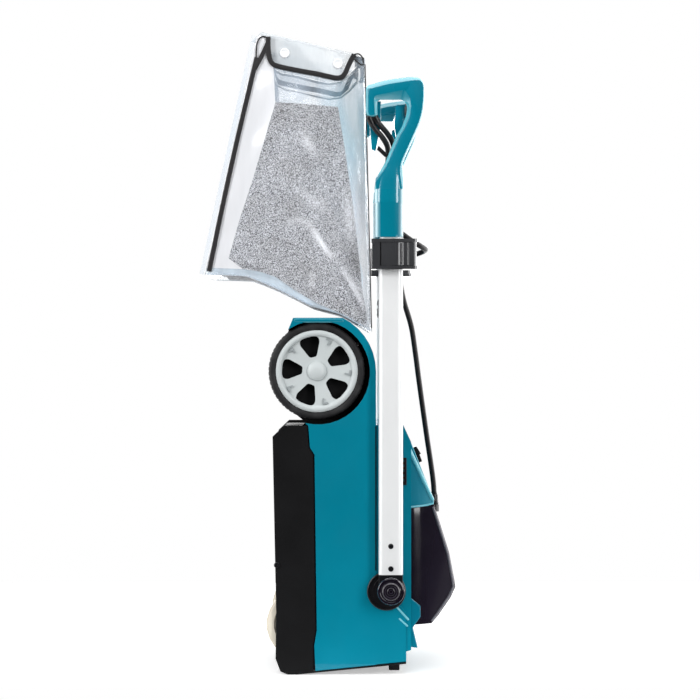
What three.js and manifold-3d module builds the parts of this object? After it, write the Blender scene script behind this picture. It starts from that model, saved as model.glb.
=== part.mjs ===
// A compact corded walk-behind lawn mower, stood on its nose for storage, with the grass bag on its back.
// Millimetres. +Z is up as stored (the machine's rear in use), +X is away from the wheels (up in use),
// +Y is the machine's left side in use. The floor is z = 0 and the machine is centred on x = y = 0.
import {
  BufferAttribute,
  BufferGeometry,
  CatmullRomCurve3,
  ExtrudeGeometry,
  Group,
  LatheGeometry,
  Matrix4,
  Mesh,
  MeshStandardMaterial,
  Shape,
  Vector2,
  Vector3,
} from "three";
import { mergeVertices } from "three/addons/utils/BufferGeometryUtils.js";
import Module from "manifold-3d";

const wasm = await Module();
wasm.setup();

// Driving dimensions
const GAP = 0.3; // between pieces that touch
const RUN = 0.4; // round a pin that turns in a hole
const WALL = 3; // moulded shells
const DECK_HALF = 182; // half the width over the deck sides
const TIER_HALF = 180; // half the width over the raised front tier
const TIER_X = 74; // deck roof
const TIER_TOP = 132; // roof of the raised tier
const TIER_END = 412; // rear end of the raised tier
const REAR_Z = 589; // rear edge of the deck
const FENDER = 136; // outer face of the inner wheel arch wall

const REAR_WHEEL = { x: -24, z: 501, radius: 80, rim: 68, inner: 141, outer: 178, axle: 5 };
const ARCH = { x: -22, z: 499, radius: 86, outside: 97 };
const FRONT_WHEEL = { x: -50, z: 82, radius: 57.5, inner: 147, outer: 171, axle: 4 };

const MOTOR_Z = 201; // motor axis, at y = 0 and parallel to X
const MOTOR = { radius: 52, bottom: 76, top: 166, wall: 5, shaft: 8 };
const BLADE = { length: 310, width: 44, thickness: 3, x: -68 };

const PIVOT = { x: 98, z: 141, bolt: 5 };
const TUBE = { x: 98, y: 202, width: 40, depth: 20, bottom: 167, top: 700, wall: 1.5 };
const INNER_TUBE = { bottom: 430, top: 760 };
const CLAMP = { bottom: 668, top: 718, flange: 5.5, face: 222, rim: 230 };
const ARM = { inner: 192, outer: 212, ferrule: 721 };

const CORD_RADIUS = 4.5;

// Geometry helpers
const circle = (a, b, radius, count = 24) =>
  Array.from({ length: count }, (_, i) => {
    const turn = ((i + 0.5) / count) * 2 * Math.PI;
    return [a + radius * Math.cos(turn), b + radius * Math.sin(turn)];
  });

const arc = (a, b, radius, from, to, count) =>
  Array.from({ length: count + 1 }, (_, i) => {
    const turn = ((from + ((to - from) * i) / count) * Math.PI) / 180;
    return [a + radius * Math.cos(turn), b + radius * Math.sin(turn)];
  });

const box = (a0, b0, a1, b1) => [[a0, b0], [a1, b0], [a1, b1], [a0, b1]];

// A box outline with each corner cut back by an arc of the given radius.
const rounded = (a0, b0, a1, b1, radius, count = 3) => [
  ...arc(a1 - radius, b1 - radius, radius, 0, 90, count),
  ...arc(a0 + radius, b1 - radius, radius, 90, 180, count),
  ...arc(a0 + radius, b0 + radius, radius, 180, 270, count),
  ...arc(a1 - radius, b0 + radius, radius, 270, 360, count),
];

// The flat-sided oval of the handle tubes, about (a, b).
const oval = (a, b, width, depth) =>
  rounded(a - width / 2, b - depth / 2, a + width / 2, b + depth / 2, depth / 2 - 0.5, 4);

// A convex outline, anticlockwise, moved inwards by the given distance.
function inset(points, distance) {
  return points.map((point, i) => {
    const before = new Vector2(...points[(i + points.length - 1) % points.length]);
    const here = new Vector2(...point);
    const after = new Vector2(...points[(i + 1) % points.length]);
    const a = here.clone().sub(before).normalize();
    const b = after.clone().sub(here).normalize();
    const normal = new Vector2(-a.y - b.y, a.x + b.x);
    const lean = normal.dot(new Vector2(-a.y, a.x));
    return here.addScaledVector(normal, distance / lean).toArray();
  });
}

function solid(geometry) {
  const loose = geometry.index ? geometry.toNonIndexed() : geometry;
  const bare = new BufferGeometry().setAttribute("position", loose.getAttribute("position"));
  const merged = mergeVertices(bare, 1e-4);
  return new wasm.Manifold(
    new wasm.Mesh({
      numProp: 3,
      vertProperties: merged.attributes.position.array,
      triVerts: new Uint32Array(merged.index.array),
    }),
  );
}

function prism(points, from, to, basis) {
  const shape = new Shape(points.map(([a, b]) => new Vector2(a, b)));
  const geometry = new ExtrudeGeometry(shape, { depth: to - from, bevelEnabled: false });
  return solid(geometry.translate(0, 0, from).applyMatrix4(basis));
}

const X = new Vector3(1, 0, 0);
const Y = new Vector3(0, 1, 0);
const Z = new Vector3(0, 0, 1);
const ALONG_X = new Matrix4().makeBasis(Y, Z, X);
const ALONG_Y = new Matrix4().makeBasis(X, Z, Y.clone().negate());

// Prisms of an outline: (y, z) points along X, (x, z) points along Y, (x, y) points along Z.
const alongX = (points, from, to) => prism(points, from, to, ALONG_X);
const alongY = (points, from, to) => prism(points, -to, -from, ALONG_Y);
const alongZ = (points, from, to) => prism(points, from, to, new Matrix4());

// A prism of an (x, z) outline on one side of the machine: side is 1 on the left and -1 on the right.
const onSide = (side, points, inner, outer) =>
  side > 0 ? alongY(points, inner, outer) : alongY(points, -outer, -inner);

// A prism along Z whose (x, distance from the centre plane) outline lies on one side of the machine.
const upSide = (side, points, from, to) =>
  alongZ(points.map(([a, b]) => [a, side * b]), from, to);

function rod(points, radius, sides, steps) {
  const path = new CatmullRomCurve3(points.map((point) => new Vector3(...point)), false, "centripetal");
  const section = new Shape(circle(0, 0, radius, sides).map(([a, b]) => new Vector2(a, b)));
  return solid(new ExtrudeGeometry(section, { steps, extrudePath: path, bevelEnabled: false }));
}

// A turned ring or disc with its axis along Y: the profile gives (radius, y) points.
function turned(profile, count, x, y, z) {
  const points = profile.map(([a, b]) => new Vector2(a, b));
  return solid(new LatheGeometry(points, count).translate(x, y, z));
}

// Materials
const finish = (color, roughness, metalness = 0) =>
  new MeshStandardMaterial({ color, roughness, metalness });
const TEAL = finish(0x008299, 0.3);
const BLACK = finish(0x1c1b1e, 0.65);
const GLOSS_BLACK = finish(0x151217, 0.25);
const GREY = finish(0xbfc6c8, 0.45);
const CREAM = finish(0xe2ddd0, 0.5);
const TYRE = finish(0x2b2a2c, 0.85);
const RUBBER = finish(0x1d1d1f, 0.9);
const ALUMINIUM = finish(0xe9eaec, 0.35, 0.9);
const STEEL = finish(0x9a9da1, 0.35, 0.95);
const COPPER = finish(0x9a5a34, 0.45, 0.8);
const CORD = finish(0x1a1719, 0.5);
const MESH_CLOTH = finish(0x9b9ca3, 0.9);

const machine = new Group();

function add(name, material, made) {
  const mesh = made.getMesh();
  const geometry = new BufferGeometry();
  geometry.setAttribute("position", new BufferAttribute(mesh.vertProperties.slice(), 3));
  geometry.setIndex(new BufferAttribute(mesh.triVerts.slice(), 1));
  geometry.computeVertexNormals();
  const piece = new Mesh(geometry, material.clone());
  piece.name = name;
  machine.add(piece);
}

const SIDES = [["left", 1], ["right", -1]];

// Deck: a moulded shell, open below, with a raised tier over the motor half and arches for the rear wheels
const noseZ = (x) => 6 + (x + 28) / 10; // the nose face leans back
const SEAM = [[-38, 411], [-35, 375], [-27.6, 363], [-23.8, 73], [-28, 48]]; // between deck and skirt

function deckShell() {
  const lowerOutline = [
    [-26, noseZ(-26)], [TIER_X, noseZ(TIER_X)],
    ...arc(REAR_WHEEL.x, REAR_WHEEL.z, ARCH.outside + 1, 0, 64, 7),
    [-63, REAR_Z], [-73, 565], [-73, 440], ...SEAM,
  ];
  const tierOutline = [
    [TIER_X - 4, noseZ(TIER_X - 4)], [124, noseZ(124)], [124, 38], [TIER_TOP, 40],
    [TIER_TOP, 384], [119, TIER_END], [TIER_X - 4, TIER_END],
  ];
  const chamber = [[-90, 9.5], [-26, 9.5], [71, 19.5], [71, 409], [-90, 409]];
  const compartment = [[TIER_X, 20.5], [121, 24.5], [121, 40], [129, 43], [129, 383], [117, 409], [TIER_X, 409]];
  const channel = [[-90, 400], [69, 400], [69, 515], [58, 545], [36, 572], [18, 600], [-90, 600]];
  let shell = alongY(lowerOutline, -DECK_HALF, DECK_HALF).add(alongY(tierOutline, -TIER_HALF, TIER_HALF));
  shell = shell
    .subtract(alongY(chamber, -DECK_HALF + WALL, DECK_HALF - WALL))
    .subtract(alongY(compartment, -TIER_HALF + WALL, TIER_HALF - WALL))
    .subtract(alongY(channel, -FENDER + WALL, FENDER - WALL))
    .subtract(alongX(circle(0, MOTOR_Z, 20), 68, 78))
    .subtract(alongX(circle(0, MOTOR_Z, MOTOR.radius + 4, 32), 127, 134))
    .subtract(alongY(circle(REAR_WHEEL.x, REAR_WHEEL.z, REAR_WHEEL.axle + RUN), -140, 140))
    .subtract(alongY(circle(FLAP.x, FLAP.z, FLAP.rod + RUN, 12), -140, 140))
    .subtract(alongY(circle(PIVOT.x, PIVOT.z, PIVOT.bolt + RUN), -180, 180))
    .subtract(alongY(box(VENT.x0 + 3, VENT.z0 + 3, VENT.x1 - 3, VENT.z1 - 3), -180, 180));
  for (const [, side] of SIDES)
    shell = shell
      .subtract(onSide(side, circle(ARCH.x, ARCH.z, ARCH.radius, 40), FENDER, 190))
      .subtract(onSide(side, circle(BASE.x, BASE.z, BASE.radius + RUN, 36), TIER_HALF + 0.1, 190));
  return shell;
}

const FLAP = { x: 43, z: 546, rod: 3, reach: 113, half: 129 };
const BASE = { x: 91, z: 138, radius: 31 }; // discs under the handle pivots
const VENT = { x0: 98, x1: 124.5, z0: 313, z1: 358 };

add("deck_shell", TEAL, deckShell());

// Skirt: side walls, front wall, nose plate under the deck's front and a rear lip
function skirt() {
  const side = [
    [-30.2, 3.6], ...SEAM.toReversed().map(([x, z]) => [x - 2.2, z]),
    [-78, 411], [-97, 393], [-91, 102], [-92, 26], [-84, 5], [-72, 0], [-56, 0],
  ];
  const nose = [
    [-56, 0], [124, noseZ(124) - 3.6], [124, noseZ(124) - 0.8], [-29, noseZ(-29) - 0.8],
    [-70, 5], [-80, 9], [-88, 28], [-92, 26], [-84, 5], [-72, 0],
  ];
  let made = alongY(nose, -DECK_HALF, DECK_HALF).add(alongY(box(-82, 400, -50, 406), -180, 180));
  for (const [, half] of SIDES) made = made.add(onSide(half, side, DECK_HALF - 4, DECK_HALF));
  return made;
}
add("lower_skirt", BLACK, skirt());

// Front bridge: the raised front rim with a cheek at each end
function frontBridge() {
  const bar = [[132.4, 40.6], [144, 39], [135.8, 73], [132.4, 73]];
  const cheek = [[132.4, 60], [138.7, 61], [135.8, 73], [139, 77.5], [148.5, 91], [148.5, 109], [132.4, 122]];
  let bridge = alongY(bar, -140, 140);
  for (const [, side] of SIDES) bridge = bridge.add(onSide(side, cheek, 129, 140));
  return bridge;
}
add("front_bridge", TEAL, frontBridge());

for (const [name, side] of SIDES) {
  const foot = [[96, 0], [114, 0], [114, noseZ(114) - 4.1], [96, noseZ(96) - 4.3]];
  add(`nose_foot_${name}`, RUBBER, onSide(side, foot, 95, 125));
}

// Side vents of the motor compartment
for (const [name, side] of SIDES) {
  let grille = onSide(side, box(VENT.x0, VENT.z0, VENT.x1, VENT.z1), TIER_HALF + GAP, TIER_HALF + 3);
  for (let z = VENT.z0 + 6; z < VENT.z1 - 6; z += 8)
    grille = grille.subtract(onSide(side, box(VENT.x0 + 4, z, VENT.x1 - 4, z + 4), TIER_HALF, TIER_HALF + 4));
  add(`vent_grille_${name}`, BLACK, grille);
}

// Motor hood: a teal cowl behind and a black cover in front, both tapering upwards
const HOOD_BASE = TIER_TOP + GAP;
const hoodSection = [[100, -130], [150, -122], [215, -87], [215, 87], [150, 122], [100, 130]];
const coverOutline = (base) => [
  [base, 76], [168, 77.5], [180, 91], [201, 120], [209, 137], [198, 195], [172, 276.6], [base, 270.6],
];
const cowlOutline = (base) => [[base, 271.2], [171.8, 277.2], [171.8, 284], [base, 384]];
const GLAND = { x: 174, y: -59, bottom: 262, top: 291 };

function hoodShell(outline) {
  const pocket = alongZ(circle(GLAND.x, GLAND.y, 9.2, 16), GLAND.bottom - 6, GLAND.top + 20);
  const outside = alongY(outline(HOOD_BASE), -131, 131).intersect(alongZ(hoodSection, 60, 400));
  const inside = alongY(inset(outline(HOOD_BASE - 12), WALL), -131, 131)
    .intersect(alongZ(inset(hoodSection, WALL), 60, 400));
  return outside.subtract(inside).subtract(pocket);
}
add("motor_cover", GLOSS_BLACK, hoodShell(coverOutline));
add("motor_cowl", TEAL, hoodShell(cowlOutline));
const guide = [[138.8, 368.6], [149, 342.6], [155, 345], [150.5, 357], [153, 358], [145, 371]];
add("cord_guide", BLACK, alongY(guide, -15, 15));
add(
  "lead_gland",
  RUBBER,
  alongZ(circle(GLAND.x, GLAND.y, 8.4, 12), GLAND.bottom, GLAND.bottom + 12)
    .add(alongZ(circle(GLAND.x, GLAND.y, 6.6, 12), GLAND.bottom + 11, GLAND.top)),
);

// Motor, fan and cutter, all on the motor axis
const disc = (radius, from, to, count = 24) => alongX(circle(0, MOTOR_Z, radius, count), from, to);
const BEARING = { outer: 16, length: 10 };

add(
  "motor_can",
  STEEL,
  disc(MOTOR.radius, MOTOR.bottom, MOTOR.top, 28)
    .subtract(disc(MOTOR.radius - MOTOR.wall, MOTOR.bottom + 10, MOTOR.top - 10, 28))
    .subtract(disc(BEARING.outer + GAP, MOTOR.bottom - 1, MOTOR.top + 1)),
);
const bearing = (from) =>
  disc(BEARING.outer, from, from + BEARING.length).subtract(disc(MOTOR.shaft + GAP, from - 1, from + 20));
add("bearing_lower", STEEL, bearing(MOTOR.bottom));
add("bearing_upper", STEEL, bearing(MOTOR.top - BEARING.length));
add("rotor_shaft", STEEL, disc(MOTOR.shaft, -52, 178));
add("armature", COPPER, disc(40, 94, 148, 28).subtract(disc(MOTOR.shaft + GAP, 90, 150)));

function coolingFan() {
  let fan = disc(34, 168.5, 171).add(disc(13, 168.5, 177));
  const blades = 8;
  for (let i = 0; i < blades; i += 1) {
    const turn = (i / blades) * 2 * Math.PI;
    const along = [Math.cos(turn), Math.sin(turn)];
    const corner = (r, s) => [r * along[0] - s * along[1], MOTOR_Z + r * along[1] + s * along[0]];
    fan = fan.add(alongX([corner(11, -1), corner(33, -1), corner(33, 1), corner(11, 1)], 169, 176.5));
  }
  return fan.subtract(disc(MOTOR.shaft + GAP, 160, 180));
}
add("cooling_fan", BLACK, coolingFan());

const bladeTop = BLADE.x + BLADE.thickness;
add(
  "blade_boss",
  ALUMINIUM,
  disc(25, bladeTop + GAP, -46).subtract(disc(MOTOR.shaft + GAP, -52.5, -45)).subtract(disc(5.4, -66, -50, 16)),
);
const half = BLADE.length / 2;
const bladeOutline = [
  [-half, -BLADE.width / 2 + 8], [-half + 60, -BLADE.width / 2], [half, -BLADE.width / 2],
  [half, BLADE.width / 2 - 8], [half - 60, BLADE.width / 2], [-half, BLADE.width / 2],
].map(([along, across]) => [across, MOTOR_Z + along]);
add("blade", STEEL, alongX(bladeOutline, BLADE.x, bladeTop).subtract(disc(5.4, -80, -60, 16)));
add("blade_bolt", STEEL, disc(12, BLADE.x - 7, BLADE.x - GAP, 6).add(disc(5, BLADE.x - 2, -53, 16)));

// Wheels and axles
const rear = REAR_WHEEL;
add("rear_axle", STEEL, alongY(circle(rear.x, rear.z, rear.axle), -170, 170));
add("front_axle", STEEL, alongY(circle(FRONT_WHEEL.x, FRONT_WHEEL.z, FRONT_WHEEL.axle, 16), -177, 177));

function rearRim(side) {
  const at = (radius, count) => circle(rear.x, rear.z, radius, count);
  let web = onSide(side, at(rear.rim - 2, 30), 163, 170);
  for (let i = 0; i < 5; i += 1) {
    const turn = ((32 + 72 * i) * Math.PI) / 180;
    const polar = (radius, offset) => [
      rear.x + radius * Math.cos(turn + offset),
      rear.z + radius * Math.sin(turn + offset),
    ];
    const window = [
      polar(26, 0.12), polar(26, -0.12), polar(53, -0.3), polar(58, -0.22), polar(58, 0.22), polar(53, 0.3),
    ];
    web = web.subtract(onSide(side, window, 150, 180));
  }
  return onSide(side, at(rear.rim - GAP, 30), rear.inner + 1, rear.outer - 1)
    .subtract(onSide(side, at(rear.rim - 7, 30), 100, 200))
    .add(web)
    .add(onSide(side, at(15, 20), rear.inner + 1, rear.outer - 1))
    .subtract(onSide(side, at(rear.axle + RUN), 100, 172));
}

const tyreHalf = (rear.outer - rear.inner) / 2;
const tyreProfile = [
  [rear.rim, -tyreHalf], [76.5, -tyreHalf], [rear.radius, -tyreHalf + 5],
  [rear.radius, tyreHalf - 5], [76.5, tyreHalf], [rear.rim, tyreHalf], [rear.rim, -tyreHalf],
];
const front = FRONT_WHEEL;
for (const [name, side] of SIDES) {
  add(`rear_rim_${name}`, GREY, rearRim(side));
  const middle = (side * (rear.inner + rear.outer)) / 2;
  add(`rear_tyre_${name}`, TYRE, turned(tyreProfile, 36, rear.x, middle, rear.z));
  const at = (radius, count = 22) => circle(front.x, front.z, radius, count);
  add(
    `front_wheel_${name}`,
    CREAM,
    onSide(side, at(front.radius), front.inner + 3, front.outer - 3)
      .add(onSide(side, at(front.radius - 3), front.inner, front.outer))
      .subtract(onSide(side, at(45), front.outer - 6, front.outer + 1))
      .subtract(onSide(side, at(45), front.inner - 1, front.inner + 6))
      .add(onSide(side, at(12, 16), front.inner, front.outer))
      .subtract(onSide(side, at(front.axle + RUN, 16), 100, 200)),
  );
}

// Discharge flap on its rod, across the rear opening
add("flap_rod", STEEL, alongY(circle(FLAP.x, FLAP.z, FLAP.rod, 12), -135, 135));
add(
  "discharge_flap",
  BLACK,
  alongY(box(FLAP.x - FLAP.reach, FLAP.z - 5, FLAP.x - 3, FLAP.z - 1), -FLAP.half, FLAP.half)
    .add(alongY(circle(FLAP.x, FLAP.z, 6.5, 16), -FLAP.half, FLAP.half))
    .subtract(alongY(circle(FLAP.x, FLAP.z, FLAP.rod + RUN, 12), -140, 140)),
);

// Handle pivots, tubes and clamps
const bore = (radius) => circle(PIVOT.x, PIVOT.z, radius, 20);
for (const [name, side] of SIDES) {
  add(
    `pivot_base_${name}`,
    BLACK,
    onSide(side, circle(BASE.x, BASE.z, BASE.radius, 32), TIER_HALF + GAP, 186)
      .add(onSide(side, circle(94.5, 137.5, 26, 28), 185, 190))
      .subtract(onSide(side, bore(PIVOT.bolt + RUN), 170, 195)),
  );
  add(
    `pivot_bolt_${name}`,
    STEEL,
    onSide(side, bore(PIVOT.bolt), 172, 224)
      .add(onSide(side, circle(PIVOT.x, PIVOT.z, 9, 6), 170, TIER_HALF - WALL - RUN)),
  );
  add(
    `pivot_knob_${name}`,
    BLACK,
    onSide(side, circle(PIVOT.x, PIVOT.z, 22.5, 36), 213, 228)
      .add(onSide(side, circle(PIVOT.x, PIVOT.z, 15, 24), 227, 232))
      .subtract(onSide(side, bore(PIVOT.bolt + RUN), 210, 225)),
  );
  const eyeHalf = TUBE.depth / 2;
  const eye = [...arc(PIVOT.x, PIVOT.z, 19.5, 180, 360, 12), [PIVOT.x + 19.5, 166.7], [PIVOT.x - 19.5, 166.7]];
  add(
    `tube_eye_${name}`,
    BLACK,
    onSide(side, eye, TUBE.y - eyeHalf, TUBE.y + eyeHalf)
      .add(upSide(side, oval(TUBE.x, TUBE.y, 36, 16), 160, 235))
      .subtract(onSide(side, bore(PIVOT.bolt + RUN), 180, 230)),
  );
  const section = (width, depth) => oval(TUBE.x, TUBE.y, width, depth);
  add(
    `outer_tube_${name}`,
    ALUMINIUM,
    upSide(side, section(TUBE.width, TUBE.depth), TUBE.bottom, TUBE.top)
      .subtract(upSide(side, section(TUBE.width - 3, TUBE.depth - 3), 100, 900)),
  );
  add(
    `inner_tube_${name}`,
    ALUMINIUM,
    upSide(side, section(36.2, 16.2), INNER_TUBE.bottom, INNER_TUBE.top)
      .subtract(upSide(side, section(33, 13), 100, 900)),
  );

  // The clamp: a block round the tube's top end between two rims, and a cam lever between the rims
  const hinge = [135, 226];
  const rims = rounded(66, 186, 142, CLAMP.rim, 7);
  const leverFrom = CLAMP.bottom + CLAMP.flange;
  const leverTo = CLAMP.top - CLAMP.flange;
  let clamp = upSide(side, rounded(67, 187, 140, CLAMP.face, 6), CLAMP.bottom, CLAMP.top)
    .add(upSide(side, rims, CLAMP.bottom, leverFrom))
    .add(upSide(side, rims, leverTo, CLAMP.top))
    .add(upSide(side, box(67, 215, 80, 229), CLAMP.bottom, CLAMP.top))
    .subtract(upSide(side, section(40.7, 20.7), 600, TUBE.top + 0.5))
    .subtract(upSide(side, section(37, 17), 600, 800))
    .subtract(upSide(side, circle(...hinge, 2.4, 12), 600, 800));
  if (side < 0) clamp = clamp.add(cordProng());
  add(`clamp_${name}`, BLACK, clamp);
  add(
    `clamp_lever_${name}`,
    BLACK,
    upSide(side, box(82, 223, 135, 229), leverFrom + 0.5, leverTo - 0.5)
      .add(upSide(side, circle(...hinge, 3.4, 16), leverFrom + 0.5, leverTo - 0.5))
      .add(upSide(side, circle(...hinge, 2, 12), CLAMP.bottom + 1, CLAMP.top - 1)),
  );
}

// The prong on the right clamp that the lead hangs over
function cordProng() {
  return alongZ(box(127, -188, 138, -112), 680, 686).add(alongZ(box(127, -112, 138, -108), 680, 700));
}

// Handle arms: each a ferrule over the inner tube that runs up into an open grip loop
const armOutline = [
  [73, 800], [117, 800], [116.5, 837], [131, 873], [146.5, 907.5], [152, 926.5], [154.4, 950], [154.4, 972],
  [150, 981], [142, 984], [128, 984.6], [90, 979.6], [60, 970.5], [57, 966], [57, 926], [60, 919], [66, 917],
  [76, 919], [76, 947], [116, 947], [122, 943], [124.8, 936], [123.8, 922], [115.5, 901], [107, 888],
  [87.5, 841.5], [79, 827], [73, 818],
];
const BAIL = { x: 114, z: 891, pin: 4 };
for (const [name, side] of SIDES) {
  add(
    `handle_arm_${name}`,
    TEAL,
    onSide(side, armOutline, ARM.inner, ARM.outer)
      .add(upSide(side, rounded(71, 189, 119.5, 215, 12, 5), ARM.ferrule, 818))
      .subtract(upSide(side, oval(TUBE.x, TUBE.y, 36.9, 16.9), 700, INNER_TUBE.top + 1))
      .subtract(onSide(side, circle(BAIL.x, BAIL.z, BAIL.pin + RUN, 16), 180, 200)),
  );
}
add("handle_grip", RUBBER, alongY(rounded(129, 950, 151, 980, 10, 4), -ARM.inner + GAP, ARM.inner - GAP));

// Switch box on the inner face of the right arm, with its lock button and the hook below it
const boxOutline = [[64, 946], [82, 946], [82, 905], [78, 885], [73.5, 863], [66, 867], [64, 900]];
add(
  "switch_box",
  TEAL,
  alongY(boxOutline, -ARM.inner + GAP, -112).subtract(alongZ(rounded(67, -137, 79, -123, 4), 935, 950)),
);
add("lock_button", BLACK, alongZ(rounded(67.5, -136.5, 78.5, -123.5, 3.5), 939, 951));
const hook = [[75, 866], [90, 852], [93, 858], [78, 872]];
add("cord_hook", BLACK, alongY(hook, -200, -192 - GAP));

// Switch bail: a bar across the handle on two legs that turn on pins in the arms
function switchBail() {
  const leg = [
    [BAIL.x - 7, BAIL.z - 5], [BAIL.x + 2, BAIL.z - 8], [BAIL.x + 6, BAIL.z], [118, 925], [119, 938],
    [109, 941], [106, 930], [104, 905],
  ];
  let bail = alongY(rounded(106, 927, 118, 940, 4), -188, 188);
  for (const [, side] of SIDES)
    bail = bail
      .add(onSide(side, leg, 177, 188))
      .add(onSide(side, circle(BAIL.x, BAIL.z, BAIL.pin, 16), 180, 198));
  return bail;
}
add("switch_bail", TEAL, switchBail());

// The motor lead in three stretches, and the flying lead with its plug
const leadUpper = [
  [70, -203, 912.2], [80, -200.5, 904.5], [92, -193.5, 893], [101, -184.5, 879], [105, -176.5, 860],
  [104, -171.5, 832],
  [101, -170, 797], [99.4, -171, 780], [99, -171, 766],
];
const leadLoop = [
  [99, -171, 764.8], [99.6, -171.4, 757], [102, -173, 748], [112, -176, 733], [130, -177, 719], [146, -172, 709],
  [155, -160, 704], [156, -145, 702], [150, -133, 699], [140, -126, 696], [130.4, -122.6, 694.2],
];
const leadLower = [
  [127.6, -121.8, 693.3], [120, -119.5, 688], [115, -116.5, 673], [115.5, -113, 650], [121, -109, 620],
  [134, -102, 576], [141, -96, 532], [147, -90, 487], [154, -82, 438], [161, -74, 390], [168, -66, 345],
  [172.5, -61, 312], [174, -59, 291.5],
];
const flyingLead = [
  [60.5, -203.5, 907], [72, -202, 898], [84, -197.5, 886], [92.5, -188.5, 872], [94, -179, 855], [92, -167, 825],
  [91, -158, 795], [92, -153, 760], [93, -150, 720], [93, -149, 680], [93, -149, 641],
];
add("lead_upper", CORD, rod(leadUpper, CORD_RADIUS, 10, 9));
add("lead_loop", CORD, rod(leadLoop, CORD_RADIUS, 10, 12));
add("lead_lower", CORD, rod(leadLower, CORD_RADIUS, 10, 24));
add("flying_lead", CORD, rod(flyingLead, CORD_RADIUS, 10, 14));
add(
  "flying_plug",
  BLACK,
  alongZ(circle(93, -149, 8, 12), 618, 640.6)
    .add(alongZ(circle(93, -149, 17, 20), 588, 620)),
);

// Grass bag: an open-topped bag with dipped sides, standing on the deck's rear edge
const bagOutline = [
  [-209, 660], [-139, 658], [-92, 638], [-33, 608], [15, 595], [40, 580], [68, 563],
  [56, 1022], [38, 1031], [28, 1010], [20, 996], [8, 991], [-36, 998], [-73, 1006], [-98, 1013],
  [-103, 1030], [-106, 1060], [-125, 1061],
];
const bagCavity = [
  [-205, 664], [-138, 661.5], [-90.5, 641.5], [-31.5, 611.5], [16, 598.5], [42, 584], [64.4, 570], [51, 1100],
  [-114, 1100],
];
const BAG_WIDE = 176; // half width at the closed end
const BAG_MOUTH = 134; // half width at the mouth
const bagFront = (thickness) => {
  const wide = BAG_WIDE - thickness;
  const slope = (BAG_WIDE - BAG_MOUTH) / 400;
  const mouth = wide - slope * 540;
  return [[-wide, 560], [wide, 560], [wide, 660], [mouth, 1200], [-mouth, 1200], [-wide, 660]];
};
const dipRoom = box(-99, 1000, 24, 1100);
add(
  "bag_shell",
  MESH_CLOTH,
  alongY(bagOutline, -180, 180)
    .intersect(alongX(bagFront(0), -300, 300))
    .subtract(alongY(bagCavity, -180, 180).intersect(alongX(bagFront(WALL), -300, 300)))
    .subtract(alongY(dipRoom, -90, 90)),
);
const mouthWire = [
  [-114, -3, 1046], [-114, -112, 1046], [-108, -124, 1040], [-96, -127, 1001], [-70, -127, 996],
  [8, -127, 981], [30, -126, 996], [44, -118, 1010], [46, -105, 1012], [46, 105, 1012], [44, 118, 1010],
  [30, 126, 996], [8, 127, 981], [-70, 127, 996], [-96, 127, 1001], [-108, 124, 1040], [-114, 112, 1046],
  [-114, 3, 1046],
];
add("bag_frame", STEEL, rod(mouthWire, 2.5, 6, 44));

export default machine;
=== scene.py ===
import math

import bmesh
import bpy
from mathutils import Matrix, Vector, geometry


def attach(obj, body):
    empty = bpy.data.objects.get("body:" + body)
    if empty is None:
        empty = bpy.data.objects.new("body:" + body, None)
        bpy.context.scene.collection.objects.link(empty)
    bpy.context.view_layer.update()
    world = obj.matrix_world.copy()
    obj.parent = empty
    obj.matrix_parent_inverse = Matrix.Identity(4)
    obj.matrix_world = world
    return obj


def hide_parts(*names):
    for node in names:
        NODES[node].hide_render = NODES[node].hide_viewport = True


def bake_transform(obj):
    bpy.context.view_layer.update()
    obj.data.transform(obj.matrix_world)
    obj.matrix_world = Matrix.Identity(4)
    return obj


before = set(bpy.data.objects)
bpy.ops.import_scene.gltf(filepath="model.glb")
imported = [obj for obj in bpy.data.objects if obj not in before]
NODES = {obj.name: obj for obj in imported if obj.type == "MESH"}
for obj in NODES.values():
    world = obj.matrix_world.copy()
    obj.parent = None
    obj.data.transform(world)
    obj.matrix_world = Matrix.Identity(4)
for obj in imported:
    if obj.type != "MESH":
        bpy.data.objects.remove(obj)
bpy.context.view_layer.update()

MM = 0.001


def placed(name, data):
    made = bpy.data.objects.new(name, data)
    bpy.context.scene.collection.objects.link(made)
    return made


# ---------------------------------------------------------------- camera
CAMERA_AT = (31, -4435, 536)  # level, square to the machine's right side
VIEW_WIDTH = 1155  # millimetres across the picture at the near side
NEAR_SIDE = -185
SENSOR = 36

camera = placed("camera", bpy.data.cameras.new("camera"))
camera.location = [c * MM for c in CAMERA_AT]
camera.rotation_euler = (math.radians(90), 0, 0)
camera.data.sensor_width = SENSOR
camera.data.lens = SENSOR * (NEAR_SIDE - CAMERA_AT[1]) / VIEW_WIDTH
camera.data.clip_end = 60
bpy.context.scene.camera = camera


# ---------------------------------------------------------------- materials
def node_material(name, base, rough, metallic=0.0, coat=0.0, specular=0.5, sheen=0.0):
    """A Principled material and its node tree, shader and shared object coordinates."""
    made = bpy.data.materials.new(name)
    made.use_nodes = True
    tree = made.node_tree
    shader = tree.nodes["Principled BSDF"]
    shader.inputs["Base Color"].default_value = (*base, 1)
    for socket, number in (("Roughness", rough), ("Metallic", metallic), ("Coat Weight", coat),
                           ("Specular IOR Level", specular), ("Sheen Weight", sheen)):
        shader.inputs[socket].default_value = number
    coords = tree.nodes.new("ShaderNodeTexCoord").outputs["Object"]
    return made, tree, shader, coords


def noise(tree, coords, scale, detail=4.0, stretch=None):
    if stretch:
        mapping = tree.nodes.new("ShaderNodeMapping")
        mapping.inputs["Scale"].default_value = stretch
        tree.links.new(coords, mapping.inputs["Vector"])
        coords = mapping.outputs["Vector"]
    node = tree.nodes.new("ShaderNodeTexNoise")
    node.inputs["Scale"].default_value = scale
    node.inputs["Detail"].default_value = detail
    tree.links.new(coords, node.inputs["Vector"])
    return node.outputs["Fac"]


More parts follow.
